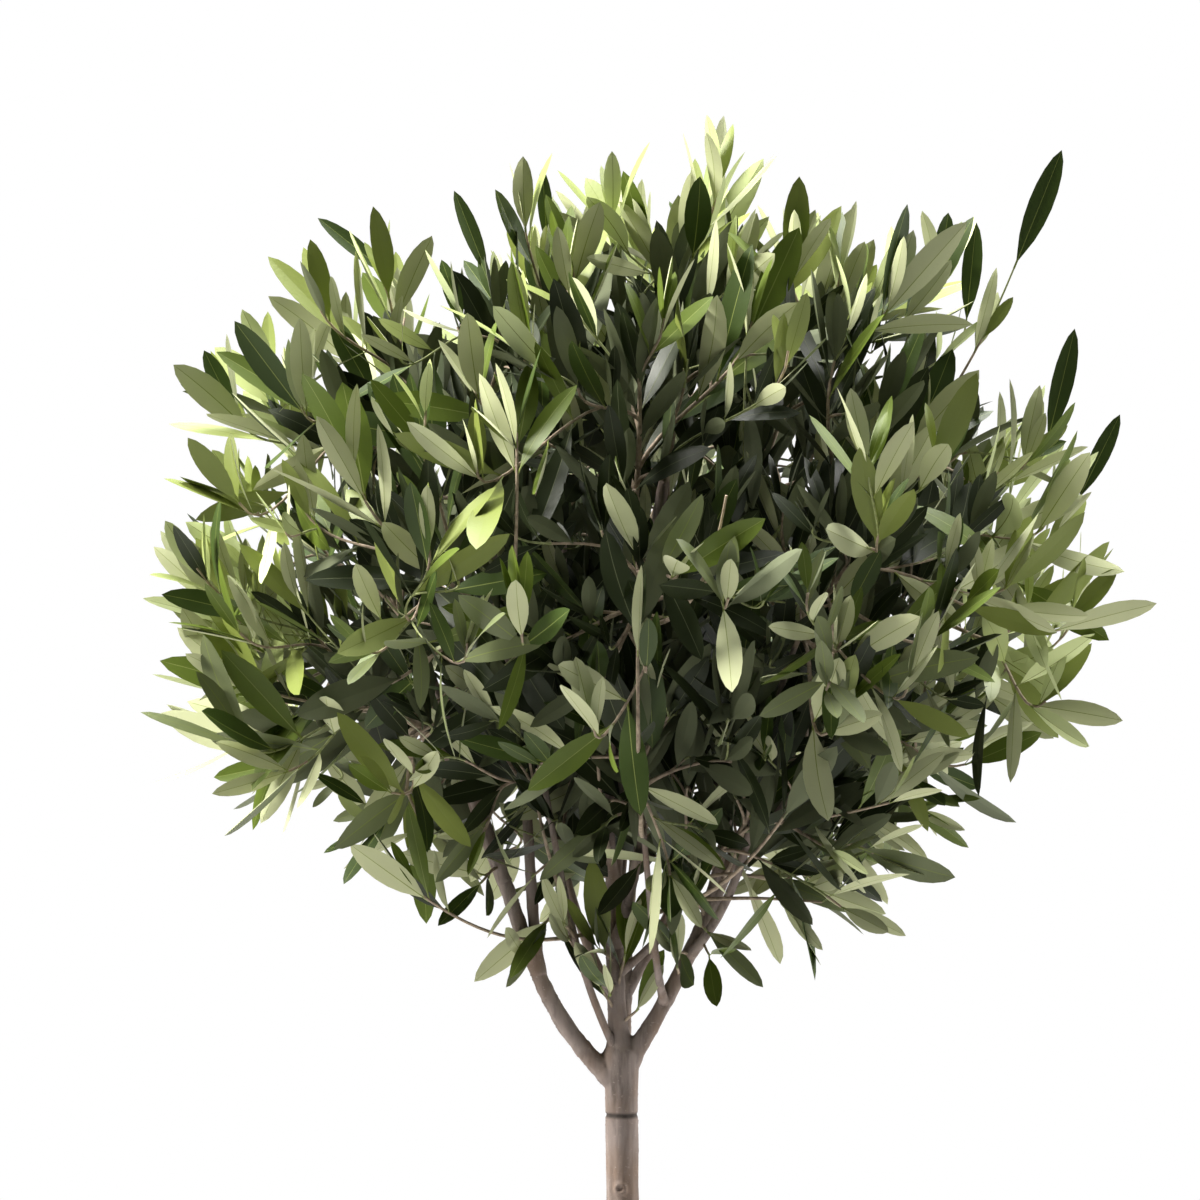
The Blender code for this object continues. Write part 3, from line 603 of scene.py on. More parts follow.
def out_of(tree, kind, inputs=None, **settings):
    """The first output of a new node."""
    return add_node(tree, kind, inputs, **settings).outputs[0]


def add_object(name, mesh):
    made = bpy.data.objects.new(name, mesh)
    bpy.context.scene.collection.objects.link(made)
    return made


def mesh_from(name, points, faces, edges=()):
    mesh = bpy.data.meshes.new(name)
    mesh.from_pydata([tuple(p) for p in points], list(edges), faces)
    return mesh


def plain_copy(source, name):
    """A new plain object of a modified one's final mesh; the modified one is removed."""
    bpy.context.view_layer.update()
    graph = bpy.context.evaluated_depsgraph_get()
    mesh = bpy.data.meshes.new_from_object(source.evaluated_get(graph))
    old = source.data
    bpy.data.objects.remove(source, do_unlink=True)
    bpy.data.meshes.remove(old)
    mesh.name = name
    return add_object(name, mesh)


def run_tree(carrier, tree, values, name):
    """The plain object that a Geometry Nodes tree makes of a carrier mesh."""
    modifier = carrier.modifiers.new(name, "NODES")
    modifier.node_group = tree
    for item in tree.interface.items_tree:
        if item.item_type == "SOCKET" and item.in_out == "INPUT" and item.name in values:
            modifier[item.identifier] = values[item.name]
    return plain_copy(carrier, name)


def new_tree(name, inputs):
    """An empty Geometry Nodes tree with the named inputs, its input node and its output node."""
    tree = bpy.data.node_groups.new(name, "GeometryNodeTree")
    tree.interface.new_socket("Geometry", in_out="INPUT", socket_type="NodeSocketGeometry")
    for title, kind in inputs.items():
        tree.interface.new_socket(title, in_out="INPUT", socket_type=f"NodeSocket{kind}")
    tree.interface.new_socket("Geometry", in_out="OUTPUT", socket_type="NodeSocketGeometry")
    return tree, tree.nodes.new("NodeGroupInput"), tree.nodes.new("NodeGroupOutput")


def store(mesh, name, kind, domain, values):
    """A named attribute of a mesh, from one value for each element."""
    attribute = mesh.attributes.new(name, kind, domain)
    if kind == "FLOAT_VECTOR":
        attribute.data.foreach_set("vector", [x for value in values for x in value])
    else:
        attribute.data.foreach_set("value", values)


# Finishes


def new_finish(name):
    """An empty material, its node tree and its shader."""
    material = bpy.data.materials.new(name)
    material.use_nodes = True
    tree = material.node_tree
    return material, tree, tree.nodes["Principled BSDF"]


def set_gloss(shader, roughness, specular):
    shader.inputs["Roughness"].default_value = roughness
    shader.inputs["Specular IOR Level"].default_value = specular


def shades(colour, share):
    """A colour made darker or lighter by a share, within 1."""
    return tuple(min(part * share, 1.0) for part in colour)


def pattern(tree, scale, stretch=(1.0, 1.0, 1.0), detail=4.0, roughness=0.55):
    """The value of a noise in the piece's own place, stretched along its axes."""
    place = add_node(tree, "ShaderNodeTexCoord").outputs["Object"]
    mapped = out_of(tree, "ShaderNodeMapping", {"Vector": place, "Scale": stretch})
    inputs = {"Vector": mapped, "Scale": scale, "Detail": detail, "Roughness": roughness}
    return add_node(tree, "ShaderNodeTexNoise", inputs).outputs["Fac"]


def height_above_floor(tree):
    place = add_node(tree, "ShaderNodeTexCoord").outputs["Object"]
    return add_node(tree, "ShaderNodeSeparateXYZ", {"Vector": place}).outputs["Z"]


def ramp(tree, value, stops):
    """A colour ramp of a value through (place, colour) stops."""
    made = add_node(tree, "ShaderNodeValToRGB", {"Fac": value})
    elements = made.color_ramp.elements
    while len(elements) < len(stops):
        elements.new(0.5)
    for element, (place, colour) in zip(elements, stops):
        element.position = place
        element.color = (*colour, 1.0)
    return made.outputs["Color"]


def blend(tree, share, first, second):
    """The mix of two colours or linked colours by a share."""
    made = add_node(tree, "ShaderNodeMix", data_type="RGBA")
    for socket, value in ((made.inputs[0], share), (made.inputs[6], first), (made.inputs[7], second)):
        if isinstance(value, bpy.types.NodeSocket):
            tree.links.new(value, socket)
        elif isinstance(value, (int, float)):
            socket.default_value = value
        else:
            socket.default_value = (*value, 1.0)
    return made.outputs[2]


def between(tree, value, low, high):
    """A value's place between two limits, from 0 to 1."""
    inputs = {"Value": value, "From Min": low, "From Max": high}
    return out_of(tree, "ShaderNodeMapRange", inputs, clamp=True)


def raise_bumps(tree, shader, height, strength, distance):
    bump = add_node(tree, "ShaderNodeBump", {"Height": height, "Strength": strength, "Distance": distance})
    tree.links.new(bump.outputs["Normal"], shader.inputs["Normal"])


def bark_finish(settings, streak):
    """Smooth grey bark: streaks along the limbs, small pale warts, mottling and a dark groove."""
    material, tree, shader = new_finish("olive_bark")
    light, dark = tuple(settings.light), tuple(settings.dark)
    pale = shades(light, 1.18)
    brown = tuple(part * share for part, share in zip(light, (0.82, 0.72, 0.62)))
    streaks = pattern(tree, streak, (1.0, 1.0, 0.16), 6.0, 0.62)
    patches = pattern(tree, streak * 0.28, (1.0, 1.0, 0.6), 3.0)
    warts = pattern(tree, streak * 3.2, (1.0, 1.0, 1.6), 2.0)
    base = ramp(tree, streaks, ((0.30, dark), (0.52, light), (0.72, pale)))
    toned = blend(tree, between(tree, patches, 0.46, 0.66), base, brown)
    spotted = blend(tree, between(tree, warts, 0.64, 0.72), toned, pale)
    height = height_above_floor(tree)
    away = out_of(tree, "ShaderNodeMath", {0: height, 1: GROOVE_HEIGHT}, operation="SUBTRACT")
    distance = out_of(tree, "ShaderNodeMath", {0: away}, operation="ABSOLUTE")
    groove = between(tree, distance, 2.2 * GROOVE_WIDTH, 0.6 * GROOVE_WIDTH)
    tree.links.new(blend(tree, groove, spotted, shades(dark, 0.5)), shader.inputs["Base Color"])
    set_gloss(shader, 0.82, 0.28)
    raise_bumps(tree, shader, streaks, 0.35, 0.0012)
    return material


def mottled_finish(name, tones, scale, texture, gloss, bumps):
    """A finish whose base colour runs through three tones of a noise, with bumps from the same noise."""
    material, tree, shader = new_finish(name)
    mottle = pattern(tree, scale, (1.0, 1.0, 1.0), *texture)
    tree.links.new(ramp(tree, mottle, tones), shader.inputs["Base Color"])
    set_gloss(shader, *gloss)
    raise_bumps(tree, shader, mottle, *bumps)
    return material


def twig_finish(name, colour):
    """Thin bark with fine mottling."""
    colour = tuple(colour)
    tones = ((0.34, shades(colour, 0.62)), (0.52, colour), (0.70, shades(colour, 1.28)))
    return mottled_finish(name, tones, 240.0, (3.0,), (0.72, 0.3), (0.3, 0.0006))


def soil_finish(name, low, high, scale):
    """Damp crumbly soil, mottled from dark to dry."""
    low, high = tuple(low), tuple(high)
    tones = ((0.34, shades(low, 0.5)), (0.52, low), (0.72, high))
    return mottled_finish(name, tones, scale, (8.0, 0.7), (0.93, 0.2), (0.8, 0.002))


def leaf_finish(name, colour, roughness, sheen):
    """One plain tint of leaf, with fine bumps between its veins."""
    material, tree, shader = new_finish(name)
    shader.inputs["Base Color"].default_value = (*colour, 1.0)
    set_gloss(shader, roughness, 0.30)
    shader.inputs["Sheen Weight"].default_value = sheen
    shader.inputs["Sheen Roughness"].default_value = 0.5
    raise_bumps(tree, shader, pattern(tree, 420.0, detail=2.0), 0.22, 0.0004)
    return material


def clay_finish(settings):
    """Fired clay: mottled, with salt bloom in patches and a damp foot."""
    material, tree, shader = new_finish("fired_clay")
    mottle = pattern(tree, 26.0, (1.0, 1.0, 1.0), 8.0, 0.6)
    speckle = pattern(tree, 520.0, (1.0, 1.0, 1.0), 2.0)
    patches = pattern(tree, 9.0, (1.0, 1.0, 1.5), 6.0, 0.65)
    rings = pattern(tree, 6.0, (0.6, 0.6, 22.0), 3.0)
    clay = tuple(settings.clay)
    base = ramp(tree, mottle, ((0.30, shades(clay, 0.80)), (0.52, clay), (0.74, shades(clay, 1.16))))
    ringed = blend(tree, between(tree, rings, 0.52, 0.80), base, shades(clay, 0.86))
    bloomed = blend(tree, between(tree, patches, 0.56, 0.74), ringed, tuple(settings.bloom))
    height = height_above_floor(tree)
    ragged = out_of(tree, "ShaderNodeMath", {0: patches, 1: 0.07, 2: height}, operation="MULTIPLY_ADD")
    damped = blend(tree, between(tree, ragged, 0.085, 0.040), bloomed, tuple(settings.damp))
    dotted = blend(tree, between(tree, speckle, 0.66, 0.72), damped, shades(clay, 0.55))
    tree.links.new(dotted, shader.inputs["Base Color"])
    set_gloss(shader, 0.88, 0.25)
    raise_bumps(tree, shader, speckle, 0.25, 0.0006)
    return material


def floor_finish(colour):
    """A pale matt floor with a faint unevenness."""
    material, tree, shader = new_finish("pale_floor")
    tone = pattern(tree, 1.6, detail=3.0)
    tones = ((0.3, shades(colour, 0.985)), (0.7, tuple(colour)))
    tree.links.new(ramp(tree, tone, tones), shader.inputs["Base Color"])
    shader.inputs["Roughness"].default_value = 0.9
    return material


# Paths and tubes


def bell(away, width):
    """A smooth bump: 1 in the middle, and nearly 0 two widths away."""
    return math.exp(-((away / width) ** 2))


def part_way(start, end, step, steps):
    """The value at a step of an even run from one value to another."""
    return start + (end - start) * step / steps


def direction(turn, rise):
    """The unit vector at a turn about +Z from +X and a rise above level, in degrees."""
    turn, rise = math.radians(turn), math.radians(rise)
    level = math.cos(rise)
    return Vector((level * math.cos(turn), level * math.sin(turn), math.sin(rise)))


def bezier(a, b, c, d, t):
    s = 1.0 - t
    return a * (s**3) + b * (3 * s * s * t) + c * (3 * s * t * t) + d * (t**3)


def bent_path(start, leave, end, arrive, handle, steps):
    """Points along a curve that leaves its start one way and arrives at its end another."""
    near, far = start + leave * handle, end - arrive * handle
    return [bezier(start, near, far, end, k / steps) for k in range(steps + 1)]


def path_length(path):
    return sum((b - a).length for a, b in zip(path, path[1:]))


def path_point(path, share):
    """The point and the direction at a share of the length of a line through some points."""
    left = share * path_length(path)
    for a, b in zip(path, path[1:]):
        step = (b - a).length
        if left <= step:
            break
        left -= step
    return a.lerp(b, min(left / step, 1.0)), (b - a).normalized()


def even_path(path, step):
    """The path through evenly spaced points about a step apart."""
    count = max(2, round(path_length(path) / step))
    return [path_point(path, k / count)[0] for k in range(count + 1)]


def ring_frames(path):
    """A direction and two directions across it for each point, turned as little as possible."""
    along = [(path[min(i + 1, len(path) - 1)] - path[max(i - 1, 0)]).normalized() for i in range(len(path))]
    side = along[0].orthogonal().normalized()
    frames = []
    for i, way in enumerate(along):
        if i:
            side = along[i - 1].rotation_difference(way) @ side
        side = (side - way * side.dot(way)).normalized()
        frames.append((way, side, way.cross(side)))
    return frames


def tube_faces(rings, sides):
    """The faces of a tube of rings of points, closed at both ends."""
    faces = []
    for i in range(rings - 1):
        for k in range(sides):
            a, b = i * sides + k, i * sides + (k + 1) % sides
            faces.append((a, b, b + sides, a + sides))
    return faces + [tuple(reversed(range(sides))), tuple(range((rings - 1) * sides, rings * sides))]


def tube(path, radius_at, sides):
    """Points and faces of a closed tube whose radius is a function of ring number and turn."""
    points = []
    for i, (centre, (_, side, other)) in enumerate(zip(path, ring_frames(path))):
        for k in range(sides):
            turn = 2.0 * math.pi * k / sides
            points.append(centre + (side * math.cos(turn) + other * math.sin(turn)) * radius_at(i, turn))
    return points, tube_faces(len(path), sides)


def joined(parts):
    """One list of points and one of faces from several."""
    points, faces = [], []
    for some_points, some_faces in parts:
        start = len(points)
        points += some_points
        faces += [tuple(start + i for i in face) for face in some_faces]
    return points, faces


def turned(profile, sides):
    """Points and faces of a profile of (radius, height) turned about +Z; a zero radius closes an end."""
    points, rings, faces = [], [], []
    for radius, height in profile:
        count = sides if radius > 0 else 1
        rings.append([len(points) + k for k in range(count)])
        for k in range(count):
            turn = 2.0 * math.pi * k / sides
            points.append(Vector((radius * math.cos(turn), radius * math.sin(turn), height)))
    for low, high in zip(rings, rings[1:]):
        for k in range(sides):
            below = [low[k % len(low)], low[(k + 1) % len(low)]]
            above = [high[(k + 1) % len(high)], high[k % len(high)]]
            faces.append(tuple(dict.fromkeys(below + above)))
    return points, faces


def face_outwards(mesh):
    """Turn a closed mesh's faces outwards."""
    shape = bmesh.new()
    shape.from_mesh(mesh)
    bmesh.ops.recalc_face_normals(shape, faces=shape.faces)
    if shape.calc_volume(signed=True) < 0:
        bmesh.ops.reverse_faces(shape, faces=shape.faces)
    shape.to_mesh(mesh)
    shape.free()


# The limbs, by the solids' rule


def trunk_centre(height):
    """The middle of the trunk at a height: a lean that grows upwards, and a slight sway."""
    share = (height - SOIL_TOP) / (FORK_HEIGHT - SOIL_TOP)
    sway = TRUNK_SWAY * math.sin(math.pi * share)
    return Vector((TRUNK_LEAN * max(share, 0.0) ** 1.6 + sway * math.cos(math.pi * share), sway, height))


def trunk_radius(height, turn):
    share = (height - SOIL_TOP) / (FORK_HEIGHT - SOIL_TOP)
    shaft = TRUNK_FOOT_RADIUS + (TRUNK_TOP_RADIUS - TRUNK_FOOT_RADIUS) * share
    swell = FORK_SWELL * bell(FORK_HEIGHT - height, FORK_SWELL_LENGTH)
    lobe = 1.0 + FLARE_LOBE_DEPTH * math.cos(FLARE_LOBES * turn + 0.7)
    return shaft + swell + FLARE * math.exp(-(height - SOIL_TOP) / FLARE_LENGTH) * lobe


def mass_middle(name):
    turn, rise, reach = MASSES[name]
    return CROWN_CENTRE + direction(turn, rise) * (reach * MASS_MIDDLE)


MIDDLES = {name: mass_middle(name) for name in MASSES}


def inside_space(point, name, margin):
    """True if the point is nearer this mass's middle than any other's, by the margin."""
    own = MIDDLES[name]
    for other, middle in MIDDLES.items():
        if other != name:
            apart = middle - own
            if (point - own).dot(apart) / apart.length > apart.length / 2 - margin:
                return False
    return True


def bough_route(name, parent_path):
    """Evenly spaced points from the parent's middle line to the middle of the mass."""
    _, where, turn, rise, _ = BOUGHS[name]
    root, _ = path_point(parent_path, where)
    end = MIDDLES[name]
    handle = (end - root).length * BOUGH_HANDLE
    arrive = ((end - CROWN_CENTRE).normalized() + UP * BOUGH_LIFT).normalized()
    return bent_path(root, direction(turn, rise), end, arrive, handle, BOUGH_STEPS)


def limb_radius(root_radius, share):
    tip = max(root_radius * BOUGH_TIP_SHARE, LEAST_BOUGH_TIP)
    return tip + (root_radius - tip) * (1.0 - share) ** 1.2


@functools.lru_cache(maxsize=None)
def plan_limbs():
    """For each limb its path as far as the mass of its name, and its radius at the root and the tip."""
    foot = SOIL_TOP + GAP
    trunk = [trunk_centre(part_way(foot, FORK_HEIGHT, k, TRUNK_STEPS)) for k in range(TRUNK_STEPS + 1)]
    limbs = {"trunk": {"path": trunk, "radii": (TRUNK_FOOT_RADIUS, TRUNK_TOP_RADIUS)}}
    for name, (parent, _, _, _, root_radius) in BOUGHS.items():
        route = bough_route(name, limbs[parent]["path"])
        entry = len(route) - 1
        least = round(LEAST_BOUGH_SHARE * entry)
        while entry > least and inside_space(route[entry - 1], name, BOUGH_ENTRY):
            entry -= 1
        limbs[name] = {"path": route[: entry + 1], "radii": (root_radius, limb_radius(root_radius, 1.0))}
    return limbs


# Bark


def trunk_skin():
    """The trunk's points and faces, from just inside the soil to a rounded top."""
    foot = SOIL_TOP - TRUNK_SUNK
    count = int((FORK_HEIGHT - TRUNK_SUNK - foot) / TRUNK_RING_STEP)
    rings = [(foot + TRUNK_RING_STEP * k, 1.0) for k in range(count)]
    rings += [(FORK_HEIGHT - below, share) for below, share in TRUNK_TOP_RINGS]
    points = []
    for height, share in rings:
        for k in range(FUSED_SIDES):
            turn = 2.0 * math.pi * k / FUSED_SIDES
            radius = trunk_radius(max(height, SOIL_TOP), turn) * share
            points.append(trunk_centre(height) + Vector((math.cos(turn), math.sin(turn), 0.0)) * radius)
    return points, tube_faces(len(rings), FUSED_SIDES)


def bough_skin(name, sides):
    """A bough's points and faces, with a collar at its root, bud scars along it and a slight waver."""
    limb = plan_limbs()[name]
    path = even_path(limb["path"], BOUGH_RING_STEP)
    length = path_length(path)
    sunk = plan_limbs()[BOUGHS[name][0]]["radii"][0] * COLLAR_SINK
    phase = len(name) * 0.7

    def radius_at(i, turn):
        along = length * i / (len(path) - 1)
        plain = limb_radius(limb["radii"][0], i / (len(path) - 1))
        collar = COLLAR_SWELL * math.exp(-max(along - sunk, 0.0) / COLLAR_LENGTH)
        from_scar = (along + phase * 0.01) % BUD_SCAR_STEP
        scar = BUD_SCAR_SWELL * bell(from_scar, BUD_SCAR_LENGTH)
        place = path[i] * LUMP_SCALE + Vector((math.cos(turn), math.sin(turn), phase)) * 0.8
        end = BOUGH_END_SHARE if i == len(path) - 1 else 1.0
        return plain * (1.0 + collar + scar + LUMP_SWELL * noise.noise(place)) * end

    return tube(path, radius_at, sides)


def knot_relief(point):
    """How far the bark stands out at a point because of the scars of lost side shoots."""
    height = 0.0
    for level, turn, size in KNOTS:
        middle = trunk_centre(level) + direction(turn, 0) * trunk_radius(level, 0.0)
        away = (point - middle).length / size
        if away < KNOT_REACH:
            high, place, width = KNOT_RIM
            deep, pit_width = KNOT_PIT
            height += high * bell(away - place, width) - deep * bell(away, pit_width)
    return height


def stretched_noise(point, scales):
    across, along = scales
    return noise.noise(Vector((point.x * across, point.y * across, point.z * along)))


def bark_relief(point, depth):
    """How far the bark stands out at a point: streaks along the trunk, fine grain, warts and the groove."""
    streak, grain, swell = RELIEF_SHARES
    relief = streak * stretched_noise(point, STREAKS) + grain * noise.noise(point * GRAIN_SCALE)
    relief = depth * (relief + swell * stretched_noise(point, SWELLS))
    wart = stretched_noise(point, WARTS)
    if wart > WART_LEVEL:
        relief += depth * WART_HEIGHT * (wart - WART_LEVEL)
    relief -= GROOVE_DEPTH * bell(point.z - GROOVE_HEIGHT, GROOVE_WIDTH)
    return relief + knot_relief(point)


def make_bark(settings):
    """One mesh for the trunk and all boughs: the main limbs fused at the fork, the thinner ones grown in."""
    fused = [name for name, row in BOUGHS.items() if row[4] > FUSED_BOUGH_RADIUS]
    points, faces = joined([trunk_skin()] + [bough_skin(name, FUSED_SKIN_SIDES) for name in fused])
    block = add_object("fused_limbs", mesh_from("fused_limbs", points, faces))
    remesh = block.modifiers.new("fuse", "REMESH")
    remesh.mode = "VOXEL"
    remesh.voxel_size = FUSED_VOXEL
    smooth = block.modifiers.new("smooth", "SMOOTH")
    smooth.factor = SMOOTH_FACTOR
    smooth.iterations = SMOOTH_ROUNDS
    bark = plain_copy(block, "bark")
    normals = [v.normal.copy() for v in bark.data.vertices]
    for vertex, normal in zip(bark.data.vertices, normals):
        vertex.co += normal * bark_relief(vertex.co, settings.relief)
    free = joined([bough_skin(name, BOUGH_SIDES) for name in BOUGHS if name not in fused])
    shape = bmesh.new()
    shape.from_mesh(bark.data)
    extra = mesh_from("free_boughs", *free)
    face_outwards(extra)
    shape.from_mesh(extra)
    shape.to_mesh(bark.data)
    shape.free()
    bpy.data.meshes.remove(extra)
    bark.data.shade_smooth()
    bark.data.materials.append(bark_finish(settings, 150.0))
    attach(bark, "root")
    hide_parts("trunk", *[f"bough_{name}" for name in BOUGHS])


# The crown's growth


# The crown's settings as plain numbers, so that the twigs and the leaves come from one growth
CrownSizes = collections.namedtuple("CrownSizes", "outer_twigs deep_twigs leaf_length leaf_width pair_step")


def crown_reach(way):
    """How far the outline lies from the crown's centre in a direction, blended from the masses' reaches."""
    total = weight = 0.0
    for turn, rise, reach in MASSES.values():
        near = math.exp(REACH_BLEND * (way.dot(direction(turn, rise)) - 1.0))
        total += near * reach
        weight += near
    return total / weight


def nearest_mass(point):
    return min(MIDDLES, key=lambda name: (MIDDLES[name] - point).length)


def target(way, reach):
    """A tip at a reach from the crown's centre: its mass, the tip and its way out."""
    tip = CROWN_CENTRE + way * reach
    return nearest_mass(tip), tip, way


def hollow(way):
    """How far the crown's skin sinks into the hollows in a direction, as a share of the reach."""
    sunk = 0.0
    for turn, rise, width, depth in HOLLOWS:
        apart = math.degrees(way.angle(direction(turn, rise)))
        sunk = max(sunk, depth * bell(apart, width))
    return sunk


def pocket(point):
    """How far the crown's skin sinks at a point, as a share: the hollows, and smaller loose pockets."""
    loose = POCKET_DEPTH * max(noise.noise(point / POCKET_SIZE + POCKET_SHIFT), 0.0)
    return max(loose, hollow(point.normalized()))


def spiral_targets(count, depths, salt, jitter):
    """Targets on a golden spiral round the crown."""
    found = []
    for number in range(count):
        dice = random.Random(SEED * 1000 + salt + number)
        height = 1.0 - 2.0 * (number + 0.5) / count
        level, turn = math.sqrt(1.0 - height * height), number * GOLDEN_TURN + salt
        shake = Vector([dice.uniform(-jitter, jitter) for _ in range(3)])
        way = (Vector((level * math.cos(turn), level * math.sin(turn), height)) + shake).normalized()
        depth = depths[number % len(depths)]
        reach = crown_reach(way)
        if abs(way.y) < EDGE_BAND:
            depth = min(depth, EDGE_DEPTHS[0] + (EDGE_DEPTHS[1] - EDGE_DEPTHS[0]) * max(way.z, 0.0))
        depth *= 1.0 - pocket(way * reach)
        found.append(target(way, reach * depth))
    return found


def tuft_targets():
    """The long shoots at the outline: the view's, each twice and a little aside, and those of the back."""
    found = []
    for number, (rise, reach) in enumerate(TUFTS):
        for aside, share in TUFT_SIDES:
            swing = math.radians(aside + TUFT_SWING * math.sin(number * 2.4))
            flat = Vector((math.cos(math.radians(rise)), 0.0, math.sin(math.radians(rise))))
            way = Vector((flat.x * math.cos(swing), math.sin(swing), flat.z * math.cos(swing)))
            found.append(target(way, reach * share))
    return found + [target(direction(turn, rise), reach) for turn, rise, reach in BACK_TUFTS]


def front_targets():
    """The bright tufts of the crown's front, set back so that they just stand out of it."""
    found = []
    for across, up, upright, tint in FRONT_TUFTS:
        reach = crown_reach(Vector((across, -FRONT_GUESS, up)).normalized()) * FRONT_DEPTH
        out = math.sqrt(max(reach**2 - across**2 - up**2, 0.0))
        way = Vector((across, -out, up))
        tip = CROWN_CENTRE + way
        found.append((nearest_mass(tip), tip, way.normalized(), upright, tint))
    return found


def finish_direction(way, dice):
    """The way a shoot points at its end: mostly upwards, less so low in the crown."""
    least, most = HIGH_LIFTS if way.z > LOW_WAY_OUT else LOW_LIFTS
    return (way + UP * dice.uniform(least, most)).normalized()


def shoot_from(wood, end, finish_way, least, most):
    """A curved path to an end from the best place on some wood, as (points, radius of that place)."""
    best, cost = None, 1e9
    for place, onward, radius in wood:
        apart = end - place
        length = apart.length
        if not least < length < most:
            continue
        turn_cost = TURN_COST - onward.dot(apart) / length
        if length * turn_cost < cost:
            best, cost = (place, onward, radius), length * turn_cost
    if not best:
        return None, 0.0
    place, onward, radius = best
    apart = end - place
    handle = apart.length * SHOOT_HANDLE
    leave = (onward * LEAVE_SHARES[0] + apart.normalized() * LEAVE_SHARES[1]).normalized()
    return bent_path(place, leave, end, finish_way, handle, SHOOT_STEPS), radius


def wood_places(path, radii, step=0.008):
    """Places along a path where a side shoot may start: (point, direction, radius)."""
    points = even_path(path, step)
    count = len(points) - 1
    found = []
    for k in range(1, count + 1):
        onward = (points[k] - points[k - 1]).normalized()
        found.append((points[k], onward, part_way(*radii, k, count)))
    return found


def leaf_frame(way, face, roll):
    """The turn of a leaf that points one way and faces another, rolled about its own length."""
    across = way.cross(face).normalized()
    normal = across.cross(way).normalized()
    turn = Matrix((across, way, normal)).transposed()
    return (turn.to_quaternion() @ Matrix.Rotation(roll, 3, "Y").to_quaternion()).to_euler()


def leaf_band(point):
    """Which row of tint shares a leaf takes, by its height and depth in the crown: deep inside and in the
    middle it takes painted shade, high up and at the sides lighter tints that are partly painted light.
    """
    out = point - CROWN_CENTRE
    if out.length < DEEP_SHARE * crown_reach(out.normalized()):
        return "deep"
    if out.z > HIGH_BAND or (abs(out.x) > SIDE_BAND and out.z > LOW_BAND):
        return "high"
    return "middle" if out.z > LOW_BAND else "low"


# Deals a tint by the leaf's band: painted shade inside and in the middle of the crown, partly painted light
# at its top and sides.
def pick_tint(point, dice):
    return dice.choices(range(len(TINTS)), TINT_SHARES[leaf_band(point)])[0]


def set_pairs(path, pairs, size, sizes, dice, leaves, spray_tint=None):
    """Opposite pairs of leaves along a twig from its tip back, each pair turned a quarter from the last.

    A spray without a tint of its own is a loose one: it takes its tint from its place, painted shade inside
    the crown and partly painted light at its top and sides, and keeps out of the hollows.
    """
    loose = spray_tint is None
    length = path_length(path)
    place, twist = length, dice.uniform(0.0, math.pi)
    if loose:
        spray_tint = pick_tint(path[-1], dice)
    for pair in range(pairs):
        if place < BARE_LENGTH and pair:
            break
        root, along = path_point(path, max(place, 0.0) / length)
        side = along.orthogonal().normalized()
        other = along.cross(side)
        turn = twist + math.pi / 2 * pair + dice.uniform(-PAIR_TURN_SHAKE, PAIR_TURN_SHAKE)
        age = min(pair / AGED_PAIRS, 1.0)
        growth = YOUNG_SIZE + (1.0 - YOUNG_SIZE) * min((pair + FIRST_AGE) / GROWN_PAIRS, 1.0)
        for half in (0.0, math.pi):
            if dice.random() < MISSING_SHARES[0] + MISSING_SHARES[1] * age:
                continue
            outward = side * math.cos(turn + half) + other * math.sin(turn + half)
            spread = math.radians(SPREADS[0] + SPREADS[1] * age + dice.uniform(*SPREAD_SHAKE))
            way = along * math.cos(spread) + outward * math.sin(spread)
            lift = LEAF_LIFTS[0] if way.z > LOW_WAY else LEAF_LIFTS[1]
            way = (way + UP * (lift - LIFT_LOSS * age * dice.random())).normalized()
            face = along * math.sin(spread) - outward * math.cos(spread) * AXIS_FACING
            face += (root - CROWN_CENTRE).normalized() * OUT_FACING + UP * UP_FACING
            grown = size * growth * dice.uniform(*SIZE_SHAKE)
            tip = root + way * grown
            if not leaf_room(tip, loose) or (loose and in_hollow(tip)):
                continue
            tint = spray_tint
            if dice.random() < OTHER_TINT_SHARES[0] + OTHER_TINT_SHARES[1] * age:
                tint = pick_tint(root + way * grown * 0.5, dice)
            flipped = LOW_FLIPPED_SHARE if root.z < CROWN_CENTRE.z + LOW_BAND else FLIPPED_SHARE
            roll = dice.gauss(0.0, ROLL_SPREAD) + (math.pi if dice.random() < flipped else 0.0)
            width = grown * sizes.leaf_width * dice.uniform(*WIDTH_SHAKE)
            kind = dice.randrange(len(LEAF_KINDS))
            shape = (width, grown, grown)
            leaves.append((root + outward * LEAF_ROOT_GAP, leaf_frame(way, face, roll), shape, kind, tint))
        widening = STEP_GROWTH[0] + STEP_GROWTH[1] * min(pair, 3) / 1.5
        place -= sizes.pair_step * widening * dice.uniform(*STEP_SHAKE)


def open_fork(point):
    """How far the leaves stay up round the trunk's axis, where the fork and the limbs show."""
    level = math.hypot(point.x - TRUNK_LEAN, point.y)
    return OPEN_FORK_RISE * bell(level, OPEN_FORK_WIDTH)


def lowest_end(point):
    return LOWEST_TWIG_END + open_fork(point)


def in_hollow(tip):
    """True if a leaf's tip stands out over one of the hollows."""
    out = tip - CROWN_CENTRE
    way = out.normalized()
    sunk = hollow(way)
    return sunk > LEAST_HOLLOW and out.length > crown_reach(way) * (HOLLOW_EDGE - sunk)


